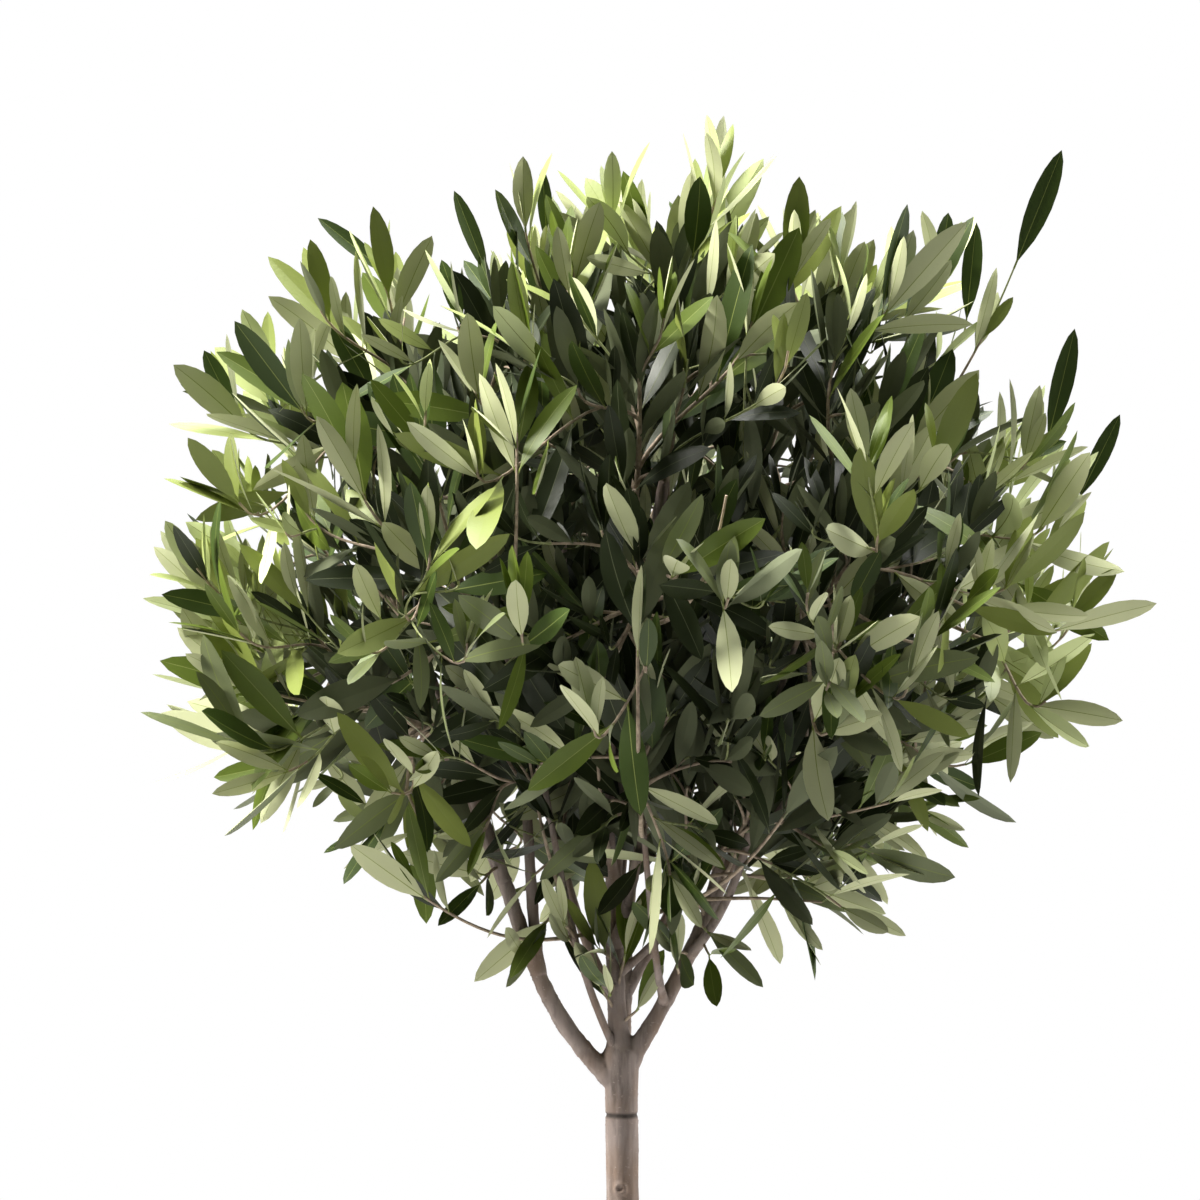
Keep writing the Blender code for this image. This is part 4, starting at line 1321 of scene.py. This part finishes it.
def leaf_room(tip, loose):
    """True if a leaf's tip stays in the solids' box and above the clear stem, or the fork if it is loose."""
    low, high = SOLIDS_BOX
    if not all(low[axis] - BOX_MARGIN <= tip[axis] <= high[axis] + BOX_MARGIN for axis in (0, 1)):
        return False
    lowest = LOWEST_LEAF + (open_fork(tip) if loose else 0.0)
    return lowest < tip.z < high[2] + BOX_MARGIN / 2


def grow_stems(crown, sizes):
    """The stem that carries on from each bough's tip, with its leaves; returns the places for side shoots."""
    wood = {}
    for name in MASSES:
        limb = plan_limbs()[name]
        path = limb["path"]
        onward = (path[-1] - path[-2]).normalized()
        way = (MIDDLES[name] - CROWN_CENTRE).normalized()
        end = CROWN_CENTRE + way * (crown_reach(way) * STEM_REACH)
        root = path[-1] - onward * STEM_SUNK
        handle = (end - root).length * STEM_HANDLE
        finish_way = (way + UP * STEM_LIFT).normalized()
        stem = bent_path(root, onward, end, finish_way, handle, STEM_STEPS)
        radii = (limb["radii"][1], STEM_TIP_RADIUS)
        crown[name]["twigs"].append((even_path(stem, STEM_STEP), radii))
        wood[name] = wood_places(stem, radii)
        dice = random.Random(SEED + 7 * len(wood))
        set_pairs(stem, STEM_PAIRS, sizes.leaf_length, sizes, dice, crown[name]["leaves"])
    return wood


@functools.lru_cache(maxsize=None)
def grow_crown(sizes):
    """For each mass its twigs, as (points, radii), and its leaves.

    Each round grows shoots or twigs to some targets from the wood of the rounds before it: its targets, root
    and tip radii, pairs of leaves, least and most length and the range of leaf sizes.
    """
    crown = {name: {"twigs": [], "leaves": []} for name in MASSES}
    wood = grow_stems(crown, sizes)
    outer = spiral_targets(SHOOT_TARGETS, SHOOT_DEPTHS, 0, SHOOT_JITTER)
    inner = spiral_targets(INNER_TARGETS, (INNER_DEPTH,), 500, SHOOT_JITTER)
    outer_twigs = spiral_targets(sizes.outer_twigs, TWIG_DEPTHS, 2000, 0.05)
    deep_twigs = spiral_targets(sizes.deep_twigs, DEEP_TWIG_DEPTHS, 6000, 0.12)
    rounds = (
        (outer, SHOOT_RADII, 6, 0.020, 0.34, LEAF_SIZES),
        (inner, SHOOT_RADII, 5, 0.020, 0.30, LEAF_SIZES),
        (tuft_targets(), SHOOT_RADII, 6, 0.020, 0.34, LEAF_SIZES),
        (front_targets(), SHOOT_RADII, 6, 0.020, 0.34, FINE_LEAF_SIZES),
        (outer_twigs, TWIG_RADII, 5, 0.016, 0.20, FINE_LEAF_SIZES),
        (deep_twigs, TWIG_RADII, 2, 0.016, 0.20, FINE_LEAF_SIZES),
    )
    for number, (targets, radii, pairs, least, most, leaf_sizes) in enumerate(rounds):
        grown = {name: [] for name in MASSES}
        for k, (name, tip, way, *held) in enumerate(targets):
            dice = random.Random(SEED * 31 + 10007 * number + k)
            finish_way = way.lerp(UP, held[0]).normalized() if held else finish_direction(way, dice)
            size = sizes.leaf_length * dice.uniform(*leaf_sizes)
            end = tip - (finish_way * FINISH_SHARES[0] + way * FINISH_SHARES[1]) * size
            if end.z < lowest_end(end):
                continue
            path, root_radius = shoot_from(wood[name], end, finish_way, least, most)
            if not path:
                continue
            thick = (min(radii[0], root_radius * THINNER_SHARE), radii[1])
            crown[name]["twigs"].append((path, thick))
            tint = TINTS.index(held[1]) if held else None
            set_pairs(path, pairs, size, sizes, dice, crown[name]["leaves"], tint)
            grown[name] += wood_places(path, thick)
        for name in MASSES:
            wood[name] += grown[name]
    add_strays(crown, wood, sizes)
    add_sprigs(crown, sizes)
    add_arching_twigs(crown, sizes)
    return crown


def add_strays(crown, wood, sizes):
    """Lone thin shoots, each with one long leaf at its tip and small ones lower down."""
    for number, (mass, turn, rise, reach, size, lift) in enumerate(STRAYS):
        dice = random.Random(SEED * 5 + number)
        way = direction(turn, rise)
        tip = CROWN_CENTRE + way * reach
        finish_way = (way + UP * lift).normalized()
        end = tip - finish_way * size * STRAY_LEAF_SHARE
        path, root_radius = shoot_from(wood[mass], end, finish_way, *STRAY_LENGTHS)
        if not path:
            raise RuntimeError(f"no wood near the stray shoot on {mass}")
        crown[mass]["twigs"].append((path, (min(STRAY_RADII[0], root_radius), STRAY_RADII[1])))
        face = (STRAY_FACE - finish_way * 0.2).normalized()
        turned_leaf = leaf_frame(finish_way, face, dice.uniform(-STRAY_ROLL, STRAY_ROLL))
        shape = (size * sizes.leaf_width * STRAY_WIDTH, size, size)
        crown[mass]["leaves"].append((path[-1], turned_leaf, shape, 0, TINTS.index("dark")))
        lower = path[: max(4, len(path) * 2 // 3)]
        size = sizes.leaf_length * STRAY_LOWER_SHARE
        set_pairs(lower, 2, size, sizes, dice, crown[mass]["leaves"])


def add_sprigs(crown, sizes):
    """Small side shoots low on the limbs."""
    for number, (limb, where, turn, rise, length, pairs, tint) in enumerate(SPRIGS):
        dice = random.Random(SEED * 9 + number)
        start, onward = path_point(plan_limbs()[limb]["path"], where)
        way = direction(turn, rise)
        end = start + way * length
        handle = length * SPRIG_HANDLE
        leave = (onward * 0.5 + way).normalized()
        path = bent_path(start, leave, end, way, handle, SPRIG_STEPS)
        crown[limb]["twigs"].append((path, SPRIG_RADII))
        size = sizes.leaf_length * SPRIG_LEAF_SHARE
        set_pairs(path, pairs, size, sizes, dice, crown[limb]["leaves"], TINTS.index(tint))


def add_arching_twigs(crown, sizes):
    """Thin bare twigs in front of the fork and in the hollows, with leaves towards their tips."""
    for number, (limb, where, turn, rise, length, end_rise, radius, pairs) in enumerate(ARCHING_TWIGS):
        dice = random.Random(SEED * 13 + number)
        start, _ = path_point(plan_limbs()[limb]["path"], where)
        leave, arrive = direction(turn, rise), direction(turn, end_rise)
        end = start + (leave + arrive).normalized() * length
        handle = length * ARCHING_HANDLE
        path = bent_path(start, leave, end, arrive, handle, ARCHING_STEPS)
        crown[limb]["twigs"].append((path, (radius, ARCHING_TIP_RADIUS)))
        set_pairs(path, pairs, sizes.leaf_length, sizes, dice, crown[limb]["leaves"])


def grown_crown(settings):
    return grow_crown(CrownSizes(*(getattr(settings, key) for key in CrownSizes._fields)))


# Twigs


def twig_tree():
    """Geometry Nodes: tubes along the carrier's lines, as thick as its points say, green at the tips."""
    tree, group, result = new_tree(
        "olive_twigs", {"Sides": "Int", "Young radius": "Float", "Wood": "Material", "Young": "Material"}
    )
    given = group.outputs
    thickness = out_of(tree, "GeometryNodeInputNamedAttribute", {"Name": "thickness"}, data_type="FLOAT")
    lines = out_of(tree, "GeometryNodeMeshToCurve", {"Mesh": given["Geometry"]})
    sized = out_of(tree, "GeometryNodeSetCurveRadius", {"Curve": lines, "Radius": thickness})
    inputs = {"Resolution": given["Sides"], "Radius": 1.0}
    ring = out_of(tree, "GeometryNodeCurvePrimitiveCircle", inputs, mode="RADIUS")
    inputs = {"Curve": sized, "Profile Curve": ring, "Fill Caps": True}
    sweep = add_node(tree, "GeometryNodeCurveToMesh", inputs)
    if "Scale" in sweep.inputs:
        tree.links.new(thickness, sweep.inputs["Scale"])
    soft = out_of(tree, "GeometryNodeSetShadeSmooth", {0: sweep.outputs[0]})
    real = out_of(tree, "GeometryNodeRealizeInstances", {0: soft})
    woody = out_of(tree, "GeometryNodeSetMaterial", {"Geometry": real, "Material": given["Wood"]})
    inputs = {0: thickness, 1: given["Young radius"]}
    thin = out_of(tree, "FunctionNodeCompare", inputs, data_type="FLOAT", operation="LESS_THAN")
    inputs = {"Geometry": woody, "Selection": thin, "Material": given["Young"]}
    tree.links.new(out_of(tree, "GeometryNodeSetMaterial", inputs), result.inputs[0])
    return tree


def make_twigs(settings):
    """The twigs of each mass, as one mesh a mass."""
    tree = twig_tree()
    values = {
        "Sides": TWIG_SIDES,
        "Young radius": YOUNG_RADIUS,
        "Wood": twig_finish("twig_bark", settings.twig_colour),
        "Young": twig_finish("young_twig", settings.tip_colour),
    }
    for name, growth in grown_crown(settings).items():
        points, edges, thickness = [], [], []
        for path, radii in growth["twigs"]:
            start, steps = len(points), len(path) - 1
            points += path
            edges += [(start + k, start + k + 1) for k in range(steps)]
            thickness += [part_way(*radii, k, steps) for k in range(steps + 1)]
        mesh = mesh_from(f"twigs_{name}", points, [], edges)
        store(mesh, "thickness", "FLOAT", "POINT", thickness)
        twigs = run_tree(add_object("twig_lines", mesh), tree, values, f"twigs_{name}")
        if not twigs.data.polygons:
            raise RuntimeError(f"the twigs of {name} came out empty")
        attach(twigs, "root")
        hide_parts(f"foliage_{name}")


# Leaves


def blade_width(share):
    """Half the blade's width, of a full width of 1, at a share of the leaf's length."""
    if share <= PETIOLE_SHARE:
        return PETIOLE_WIDTH / 2
    blade = (share - PETIOLE_SHARE) / (1.0 - PETIOLE_SHARE)
    full = 0.5 * (blade / WIDEST) ** BASE_POWER * ((1.0 - blade) / (1.0 - WIDEST)) ** TIP_POWER
    return max(full, PETIOLE_WIDTH / 2 * (1.0 - blade))


def leaf_form(name, bends):
    """A thin closed leaf of length 1 and width 1 along +Y, its upper side up, with its zones marked."""
    arch, fold, sway, twist = bends["arch"], bends["fold"], bends["sway"], math.radians(bends["twist"])
    points, faces, zones = [], [], []
    for share in LEAF_STATIONS[:-1]:
        half = blade_width(share)
        rib = RIB_WIDTH / 2 * (1.0 - RIB_TAPER * share)
        thick = LEAF_THICKNESS / 2
        keel = -KEEL_SHARE * thick
        for x, z in ((-half, 0.0), (-rib, thick), (rib, thick), (half, 0.0), (rib, keel), (-rib, keel)):
            turned_x = x * math.cos(twist * share)
            turned_z = z + fold * LEAF_CUP * abs(x) + LEAF_CUP * x * math.sin(twist * share)
            points.append((turned_x + sway * math.sin(math.pi * share), share, turned_z - arch * share**2))
    rows = len(LEAF_STATIONS) - 1
    sides = len(SECTION_ZONES)
    for row in range(rows - 1):
        a, b = sides * row, sides * (row + 1)
        for k, zone in enumerate(SECTION_ZONES):
            n = (k + 1) % sides
            faces.append((a + k, a + n, b + n, b + k))
            zones.append(zone if row > 0 else STALK_ZONE)
    points.append((0.0, 1.0, -arch))
    last, tip = sides * (rows - 1), len(points) - 1
    for k, zone in enumerate(SECTION_ZONES):
        faces.append((last + k, last + (k + 1) % sides, tip))
        zones.append(zone)
    faces.append(tuple(reversed(range(sides))))
    zones.append(STALK_ZONE)
    mesh = mesh_from(name, points, faces)
    store(mesh, "zone", "INT", "FACE", zones)
    face_outwards(mesh)
    mesh.shade_smooth()
    for edge in mesh.edges:
        edge.use_edge_sharp = all(i == tip or i % sides in BLADE_EDGES for i in edge.vertices)
    return bpy.data.objects.new(name, mesh)


def leaf_tree():
    """Geometry Nodes: a leaf of the right kind, size and turn at each carrier point, tinted by spray."""
    names = {"Leaves": "Collection", "Rib": "Material", "Underside": "Material"}
    names |= {"Shaded underside": "Material", "Fresh underside": "Material"}
    names |= {f"Upper {tint}": "Material" for tint in TINTS}
    tree, group, result = new_tree("olive_leaves", names)
    given = group.outputs

    def attribute(name, kind):
        return out_of(tree, "GeometryNodeInputNamedAttribute", {"Name": name}, data_type=kind)

    def equal(value, number):
        inputs = {2: value, 3: number}
        return out_of(tree, "FunctionNodeCompare", inputs, data_type="INT", operation="EQUAL")

    def both(a, b):
        return out_of(tree, "FunctionNodeBooleanMath", {0: a, 1: b}, operation="AND")

    inputs = {"Collection": given["Leaves"], "Separate Children": True, "Reset Children": True}
    placing = {
        "Points": out_of(tree, "GeometryNodeMeshToPoints", {"Mesh": given["Geometry"]}),
        "Instance": out_of(tree, "GeometryNodeCollectionInfo", inputs),
        "Pick Instance": True,
        "Instance Index": attribute("leaf_kind", "INT"),
        "Rotation": out_of(tree, "FunctionNodeEulerToRotation", {0: attribute("leaf_turn", "FLOAT_VECTOR")}),
        "Scale": attribute("leaf_size", "FLOAT_VECTOR"),
    }
    placed = out_of(tree, "GeometryNodeInstanceOnPoints", placing)
    real = out_of(tree, "GeometryNodeRealizeInstances", {0: placed})
    zone, tint = attribute("zone", "INT"), attribute("leaf_tint", "INT")
    choices = [
        (None, "Underside"),
        (equal(tint, TINTS.index("fresh")), "Fresh underside"),
        (equal(zone, RIB_ZONE), "Rib"),
        (equal(zone, STALK_ZONE), "Rib"),
        # Painted shade: shade-tinted leaves take the dark shaded underside.
        (equal(tint, TINTS.index("shade")), "Shaded underside"),
    ]
    for number, name in enumerate(TINTS):
        choices.append((both(equal(zone, BLADE_ZONE), equal(tint, number)), f"Upper {name}"))
    for selection, title in choices:
        inputs = {"Geometry": real, "Material": given[title]}
        if selection:
            inputs["Selection"] = selection
        real = out_of(tree, "GeometryNodeSetMaterial", inputs)
    tree.links.new(real, result.inputs[0])
    return tree


def make_leaves(settings):
    """The leaves of each mass, as one mesh a mass."""
    kinds = bpy.data.collections.new("leaf_kinds")
    for number, (name, bends) in enumerate(LEAF_KINDS.items()):
        kinds.objects.link(leaf_form(f"leaf_{number}_{name}", bends))
    tree = leaf_tree()
    values = {
        "Leaves": kinds,
    }
    for key, (roughness, sheen) in LEAF_GLOSSES.items():
        title = key.replace("_", " ").capitalize()
        values[title] = leaf_finish(f"leaf_{key}", getattr(settings, key), roughness, sheen)
    for tint in TINTS:
        values[f"Upper {tint}"] = leaf_finish(f"leaf_{tint}", getattr(settings, tint), UPPER_ROUGHNESS, 0.0)
    for name, growth in grown_crown(settings).items():
        roots, turns, sizes, numbers, tints = zip(*growth["leaves"])
        mesh = mesh_from(f"leaves_{name}", roots, [])
        store(mesh, "leaf_turn", "FLOAT_VECTOR", "POINT", turns)
        store(mesh, "leaf_size", "FLOAT_VECTOR", "POINT", sizes)
        store(mesh, "leaf_kind", "INT", "POINT", numbers)
        store(mesh, "leaf_tint", "INT", "POINT", tints)
        leaves = run_tree(add_object("leaf_spots", mesh), tree, values, f"leaves_{name}")
        if not leaves.data.polygons:
            raise RuntimeError(f"the leaves of {name} came out empty")
        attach(leaves, "root")
        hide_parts(f"foliage_{name}")
    for form in list(kinds.objects):
        bpy.data.objects.remove(form, do_unlink=True)
    bpy.data.collections.remove(kinds)


# Pot and soil


def inner_radius(height):
    """The radius of the pot's inside wall at a height."""
    rise = (height - POT_FLOOR) / (POT_HEIGHT - POT_FLOOR)
    foot, top = POT_FOOT_RADIUS - POT_WALL, POT_NECK_RADIUS - POT_WALL + 0.003
    return foot + (top - foot) * rise


def rounded(corners, radius, steps=5):
    """A profile whose inner corners are rounded."""
    made = [corners[0]]
    for before, corner, after in zip(corners, corners[1:], corners[2:]):
        before, corner, after = Vector(before), Vector(corner), Vector(after)
        cut = min(radius, 0.45 * (corner - before).length, 0.45 * (after - corner).length)
        start = corner + (before - corner).normalized() * cut
        end = corner + (after - corner).normalized() * cut
        for k in range(steps + 1):
            t = k / steps
            made.append(tuple(start * (1 - t) ** 2 + corner * (2 * t * (1 - t)) + end * t**2))
    made.append(corners[-1])
    return made


def refined(profile, step):
    """The profile with its long straight runs cut into steps."""
    made = []
    for a, b in zip(profile, profile[1:]):
        length = math.hypot(b[0] - a[0], b[1] - a[1])
        count = max(1, round(length / step))
        made += [(part_way(a[0], b[0], k, count), part_way(a[1], b[1], k, count)) for k in range(count)]
    made.append(profile[-1])
    return made


def pot_profile():
    """Half the pot's section as (radius, height), from the middle of its foot round the rim to its floor."""
    foot, neck, rim, top = POT_FOOT_RADIUS, POT_NECK_RADIUS, POT_RIM_RADIUS, POT_HEIGHT
    rim_foot = POT_HEIGHT - POT_RIM_HEIGHT
    corners = [
        (0.0, 0.0015),
        (foot - 0.014, 0.0015),
        (foot - 0.011, 0.0),
        (foot - 0.003, 0.0),
        (foot, 0.004),
        (neck, rim_foot - 0.001),
        (neck + 0.001, rim_foot + 0.001),
        (rim - 0.0015, rim_foot + 0.003),
        (rim + 0.0005, rim_foot + 0.010),
        (rim - 0.0015, rim_foot + 0.018),
        (rim, top - 0.012),
        (rim - 0.0002, top - 0.0002),
        (inner_radius(top) + 0.0005, top - 0.0002),
        (inner_radius(top - 0.012), top - 0.012),
        (inner_radius(POT_FLOOR), POT_FLOOR),
        (0.0, POT_FLOOR),
    ]
    return refined(rounded(corners, RIM_TURNING), PROFILE_STEP)


def add_turning_lines(points, settings):
    """Move the points of the pot's outside in and out: fine turning lines that waver a little."""
    for point in points:
        level = math.hypot(point.x, point.y)
        if level > POT_FOOT_RADIUS - 0.002 and 0.004 < point.z < POT_HEIGHT - 0.004:
            drift = LINE_DRIFT * math.atan2(point.y, point.x) / math.pi
            line = math.sin(2 * math.pi * point.z / settings.line_step + drift)
            waver = stretched_noise(point, WAVER_SCALES)
            out = settings.line_depth * line * (0.6 + 0.4 * waver) + WAVER_HEIGHT * waver - LINE_SUNK
            grow = 1.0 + out / level
            point.x *= grow
            point.y *= grow


def drain_cutter(number):
    """A round cutter for one of the drain holes."""
    turn = 2.0 * math.pi * (number + 0.5) / DRAIN_HOLES
    middle = Vector((DRAIN_CIRCLE * math.cos(turn), DRAIN_CIRCLE * math.sin(turn), 0.0))
    ends = [middle - UP * POT_FLOOR, middle + UP * 2 * POT_FLOOR]
    mesh = mesh_from("drain_cutter", *tube(ends, lambda i, turn: DRAIN_RADIUS, DRAIN_SIDES))
    face_outwards(mesh)
    return add_object("drain_cutter", mesh)


def make_pot(settings):
    """The clay pot, turned with a rolled rim and fine turning lines, and drilled for drainage."""
    points, faces = turned(pot_profile(), POT_SIDES)
    add_turning_lines(points, settings)
    mesh = mesh_from("pot_blank", points, faces)
    face_outwards(mesh)
    blank = add_object("pot_blank", mesh)
    cutters = [drain_cutter(number) for number in range(DRAIN_HOLES)]
    for cutter in cutters:
        drill = blank.modifiers.new("drain", "BOOLEAN")
        drill.operation = "DIFFERENCE"
        drill.object = cutter
    pot = plain_copy(blank, "clay_pot")
    for cutter in cutters:
        bpy.data.objects.remove(cutter, do_unlink=True)
    pot.data.shade_smooth()
    pot.data.materials.clear()
    pot.data.materials.append(clay_finish(settings))
    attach(pot, "root")
    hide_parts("pot")


def soil_height(x, y, unevenness):
    """The height of the soil's top: uneven, a little heaped at the trunk and sunk at the pot's wall."""
    level = math.hypot(x, y)
    place = Vector((x, y, 0.0))
    bumps = sum(share * noise.noise(place * scale) for scale, share in SOIL_WAVES)
    heap = SOIL_HEAP[0] * bell(level, SOIL_HEAP[1])
    wall = SOIL_DIP[0] * bell(inner_radius(SOIL_TOP) - level, SOIL_DIP[1])
    return SOIL_TOP - SOIL_SUNK + unevenness * 0.7 * bumps + heap - wall


def crumb_tree():
    """Geometry Nodes: small angular crumbs and pale grains strewn over the soil's top."""
    names = {"Crumbs": "Float", "Grains": "Float"}
    names |= {"Soil": "Material", "Crumb": "Material", "Grain": "Material"}
    tree, group, result = new_tree("soil_crumbs", names)
    given = group.outputs

    def height_of(source):
        vector = out_of(tree, source)
        return add_node(tree, "ShaderNodeSeparateXYZ", {0: vector}).outputs["Z"]

    def above(value, limit):
        inputs = {0: value, 1: limit}
        return out_of(tree, "FunctionNodeCompare", inputs, data_type="FLOAT", operation="GREATER_THAN")

    def dealt(least, most, seed):
        inputs = {0: (least,) * 3, 1: (most,) * 3, "Seed": seed}
        return out_of(tree, "FunctionNodeRandomValue", inputs, data_type="FLOAT_VECTOR")

    def finished(geometry, title):
        return out_of(tree, "GeometryNodeSetMaterial", {"Geometry": geometry, "Material": given[title]})

    facing = above(height_of("GeometryNodeInputNormal"), 0.4)
    high = above(height_of("GeometryNodeInputPosition"), SOIL_TOP - 0.02)
    top = out_of(tree, "FunctionNodeBooleanMath", {0: facing, 1: high}, operation="AND")
    parts = [finished(given["Geometry"], "Soil")]
    for title, (finish, least, most, detail, seed) in STREWN.items():
        inputs = {"Mesh": given["Geometry"], "Selection": top, "Density": given[title], "Seed": seed}
        spots = out_of(tree, "GeometryNodeDistributePointsOnFaces", inputs)
        ball = out_of(tree, "GeometryNodeMeshIcoSphere", {"Radius": 1.0, "Subdivisions": detail})
        size = dealt(least, most, seed + 1)
        spin = out_of(tree, "FunctionNodeEulerToRotation", {0: dealt(0.0, FULL_TURN, seed + 2)})
        inputs = {"Points": spots, "Instance": ball, "Rotation": spin, "Scale": size}
        parts.append(finished(out_of(tree, "GeometryNodeInstanceOnPoints", inputs), finish))
    together = tree.nodes.new("GeometryNodeJoinGeometry")
    for part in reversed(parts):
        tree.links.new(part, together.inputs[0])
    tree.links.new(out_of(tree, "GeometryNodeRealizeInstances", {0: together.outputs[0]}), result.inputs[0])
    return tree


def make_soil(settings):
    """The soil: a filled block with an uneven top, strewn with crumbs and pale grains."""
    edge = inner_radius(SOIL_TOP) - GAP
    profile = [(0.0, POT_FLOOR + GAP), (inner_radius(POT_FLOOR) - 2 * GAP, POT_FLOOR + GAP)]
    profile += [(edge * (1.0 - k / SOIL_RINGS), SOIL_TOP) for k in range(SOIL_RINGS + 1)]
    points, faces = turned(profile, SOIL_SIDES)
    for point in points:
        if point.z > SOIL_TOP - 0.0001:
            point.z = soil_height(point.x, point.y, settings.unevenness)
    mesh = mesh_from("soil_block", points, faces)
    face_outwards(mesh)
    mesh.shade_smooth()
    values = {
        "Crumbs": float(settings.crumbs),
        "Grains": float(settings.grains),
        "Soil": soil_finish("soil", settings.soil, settings.dry, 120.0),
        "Crumb": soil_finish("soil_crumb", shades(settings.soil, 1.3), settings.dry, 90.0),
        "Grain": soil_finish("pale_grain", *GRAIN_COLOURS, 300.0),
    }
    soil = run_tree(add_object("soil_block", mesh), crumb_tree(), values, "soil_and_crumbs")
    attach(soil, "root")
    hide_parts("potting_soil")


# Stage


def area_light(name, place, aim, size, power, colour):
    """A square soft light at a place, turned towards a point."""
    light = bpy.data.lights.new(name, "AREA")
    light.size = size
    light.energy = power
    light.color = colour
    lamp = add_object(name, light)
    lamp.location = place
    lamp.rotation_euler = (aim - Vector(place)).to_track_quat("-Z", "Y").to_euler()


def sky_light(strength):
    """A wide even light from above, which keeps the floor as bright far out as near the pot."""
    light = bpy.data.lights.new("sky_light", "SUN")
    light.angle = math.radians(SKY_SPREAD)
    light.energy = strength
    lamp = add_object("sky_light", light)
    lamp.location = (0.0, 0.0, SKY_HEIGHT)
    lamp.rotation_euler = (*map(math.radians, SKY_TILT), 0.0)


def make_world(surround):
    """White where the camera looks past the tree, and a dimmer even light everywhere else."""
    world = bpy.data.worlds.new("studio")
    world.use_nodes = True
    tree = world.node_tree
    tree.nodes.clear()
    camera_ray = add_node(tree, "ShaderNodeLightPath").outputs["Is Camera Ray"]
    seen, lit = (
        out_of(tree, "ShaderNodeBackground", {"Color": (1.0, 1.0, 1.0, 1.0), "Strength": strength})
        for strength in (1.0, surround)
    )
    mixed = out_of(tree, "ShaderNodeMixShader", {0: camera_ray, 1: lit, 2: seen})
    add_node(tree, "ShaderNodeOutputWorld", {"Surface": mixed})
    bpy.context.scene.world = world


def make_floor(settings):
    """The pale floor just under the pot."""
    ring = [(0.0, 0.0, -FLOOR_DROP)]
    for k in range(FLOOR_SIDES):
        turn = 2.0 * math.pi * k / FLOOR_SIDES
        radius = settings.floor_radius
        ring.append((radius * math.cos(turn), radius * math.sin(turn), -FLOOR_DROP))
    faces = [(0, k + 1, (k + 1) % FLOOR_SIDES + 1) for k in range(FLOOR_SIDES)]
    floor = add_object("floor", mesh_from("floor", ring, faces))
    floor.data.materials.append(floor_finish(settings.floor_colour))


def make_camera():
    """The camera that matches the view."""
    camera = bpy.data.cameras.new("camera")
    camera.sensor_width = SENSOR_WIDTH
    camera.lens = SENSOR_WIDTH * -VIEW_PLACE[1] / VIEW_WIDTH
    camera.clip_end = VIEW_REACH
    view = add_object("camera", camera)
    view.location = VIEW_PLACE
    view.rotation_euler = (math.radians(90.0), 0.0, 0.0)
    bpy.context.scene.camera = view
    bpy.context.scene.view_settings.view_transform = "Standard"


def make_stage(settings):
    """The pale floor, the lights and the camera."""
    make_floor(settings)
    for name, (place, size, colour) in LIGHTS.items():
        power = getattr(settings, f"{name}_power")
        area_light(f"{name}_light", place, CROWN_CENTRE, size, power, colour)
    sky_light(settings.sky_power)
    make_world(settings.surround)
    make_camera()


# Operators and panel


class OLIVE_OT_stage(bpy.types.Operator):
    """Set up the floor, the lights and the camera"""

    bl_idname = "olive.stage"
    bl_label = "Stage"

    def execute(self, context):
        make_stage(context.scene.olive_stage)
        return {"FINISHED"}


class OLIVE_OT_bark(bpy.types.Operator):
    """Cover the trunk and the boughs with bark"""

    bl_idname = "olive.bark"
    bl_label = "Bark"

    def execute(self, context):
        make_bark(context.scene.olive_bark)
        return {"FINISHED"}


class OLIVE_OT_twigs(bpy.types.Operator):
    """Grow the twigs of every mass of leaves"""

    bl_idname = "olive.twigs"
    bl_label = "Twigs"

    def execute(self, context):
        make_twigs(context.scene.olive_crown)
        return {"FINISHED"}


class OLIVE_OT_leaves(bpy.types.Operator):
    """Set the leaves on the twigs"""

    bl_idname = "olive.leaves"
    bl_label = "Leaves"

    def execute(self, context):
        make_leaves(context.scene.olive_crown)
        return {"FINISHED"}


class OLIVE_OT_pot(bpy.types.Operator):
    """Turn the clay pot"""

    bl_idname = "olive.pot"
    bl_label = "Pot"

    def execute(self, context):
        make_pot(context.scene.olive_pot)
        return {"FINISHED"}


class OLIVE_OT_soil(bpy.types.Operator):
    """Fill the pot with soil"""

    bl_idname = "olive.soil"
    bl_label = "Soil"

    def execute(self, context):
        make_soil(context.scene.olive_soil)
        return {"FINISHED"}


OPERATORS = (OLIVE_OT_stage, OLIVE_OT_pot, OLIVE_OT_soil, OLIVE_OT_bark, OLIVE_OT_twigs, OLIVE_OT_leaves)
SETTINGS = {
    "olive_stage": OliveStageSettings,
    "olive_pot": OlivePotSettings,
    "olive_soil": OliveSoilSettings,
    "olive_bark": OliveBarkSettings,
    "olive_crown": OliveCrownSettings,
}


class OLIVE_PT_panel(bpy.types.Panel):
    """The tree's pieces and their settings"""

    bl_label = "Potted Olive Tree"
    bl_idname = "OLIVE_PT_panel"
    bl_space_type = "VIEW_3D"
    bl_region_type = "UI"
    bl_category = "Olive"

    def draw(self, context):
        for operator in OPERATORS:
            self.layout.operator(operator.bl_idname)
        for name, group in SETTINGS.items():
            box = self.layout.box()
            for key in group.__annotations__:
                box.prop(getattr(context.scene, name), key)


def register():
    for group in SETTINGS.values():
        bpy.utils.register_class(group)
    for name, group in SETTINGS.items():
        setattr(bpy.types.Scene, name, PointerProperty(type=group))
    for made in (*OPERATORS, OLIVE_PT_panel):
        bpy.utils.register_class(made)


def unregister():
    for made in reversed((*OPERATORS, OLIVE_PT_panel)):
        bpy.utils.unregister_class(made)
    for name, group in SETTINGS.items():
        delattr(bpy.types.Scene, name)
        bpy.utils.unregister_class(group)


def main():
    register()
    for operator in OPERATORS:
        group, name = operator.bl_idname.split(".")
        getattr(getattr(bpy.ops, group), name)()


if __name__ == "__main__":
    main()
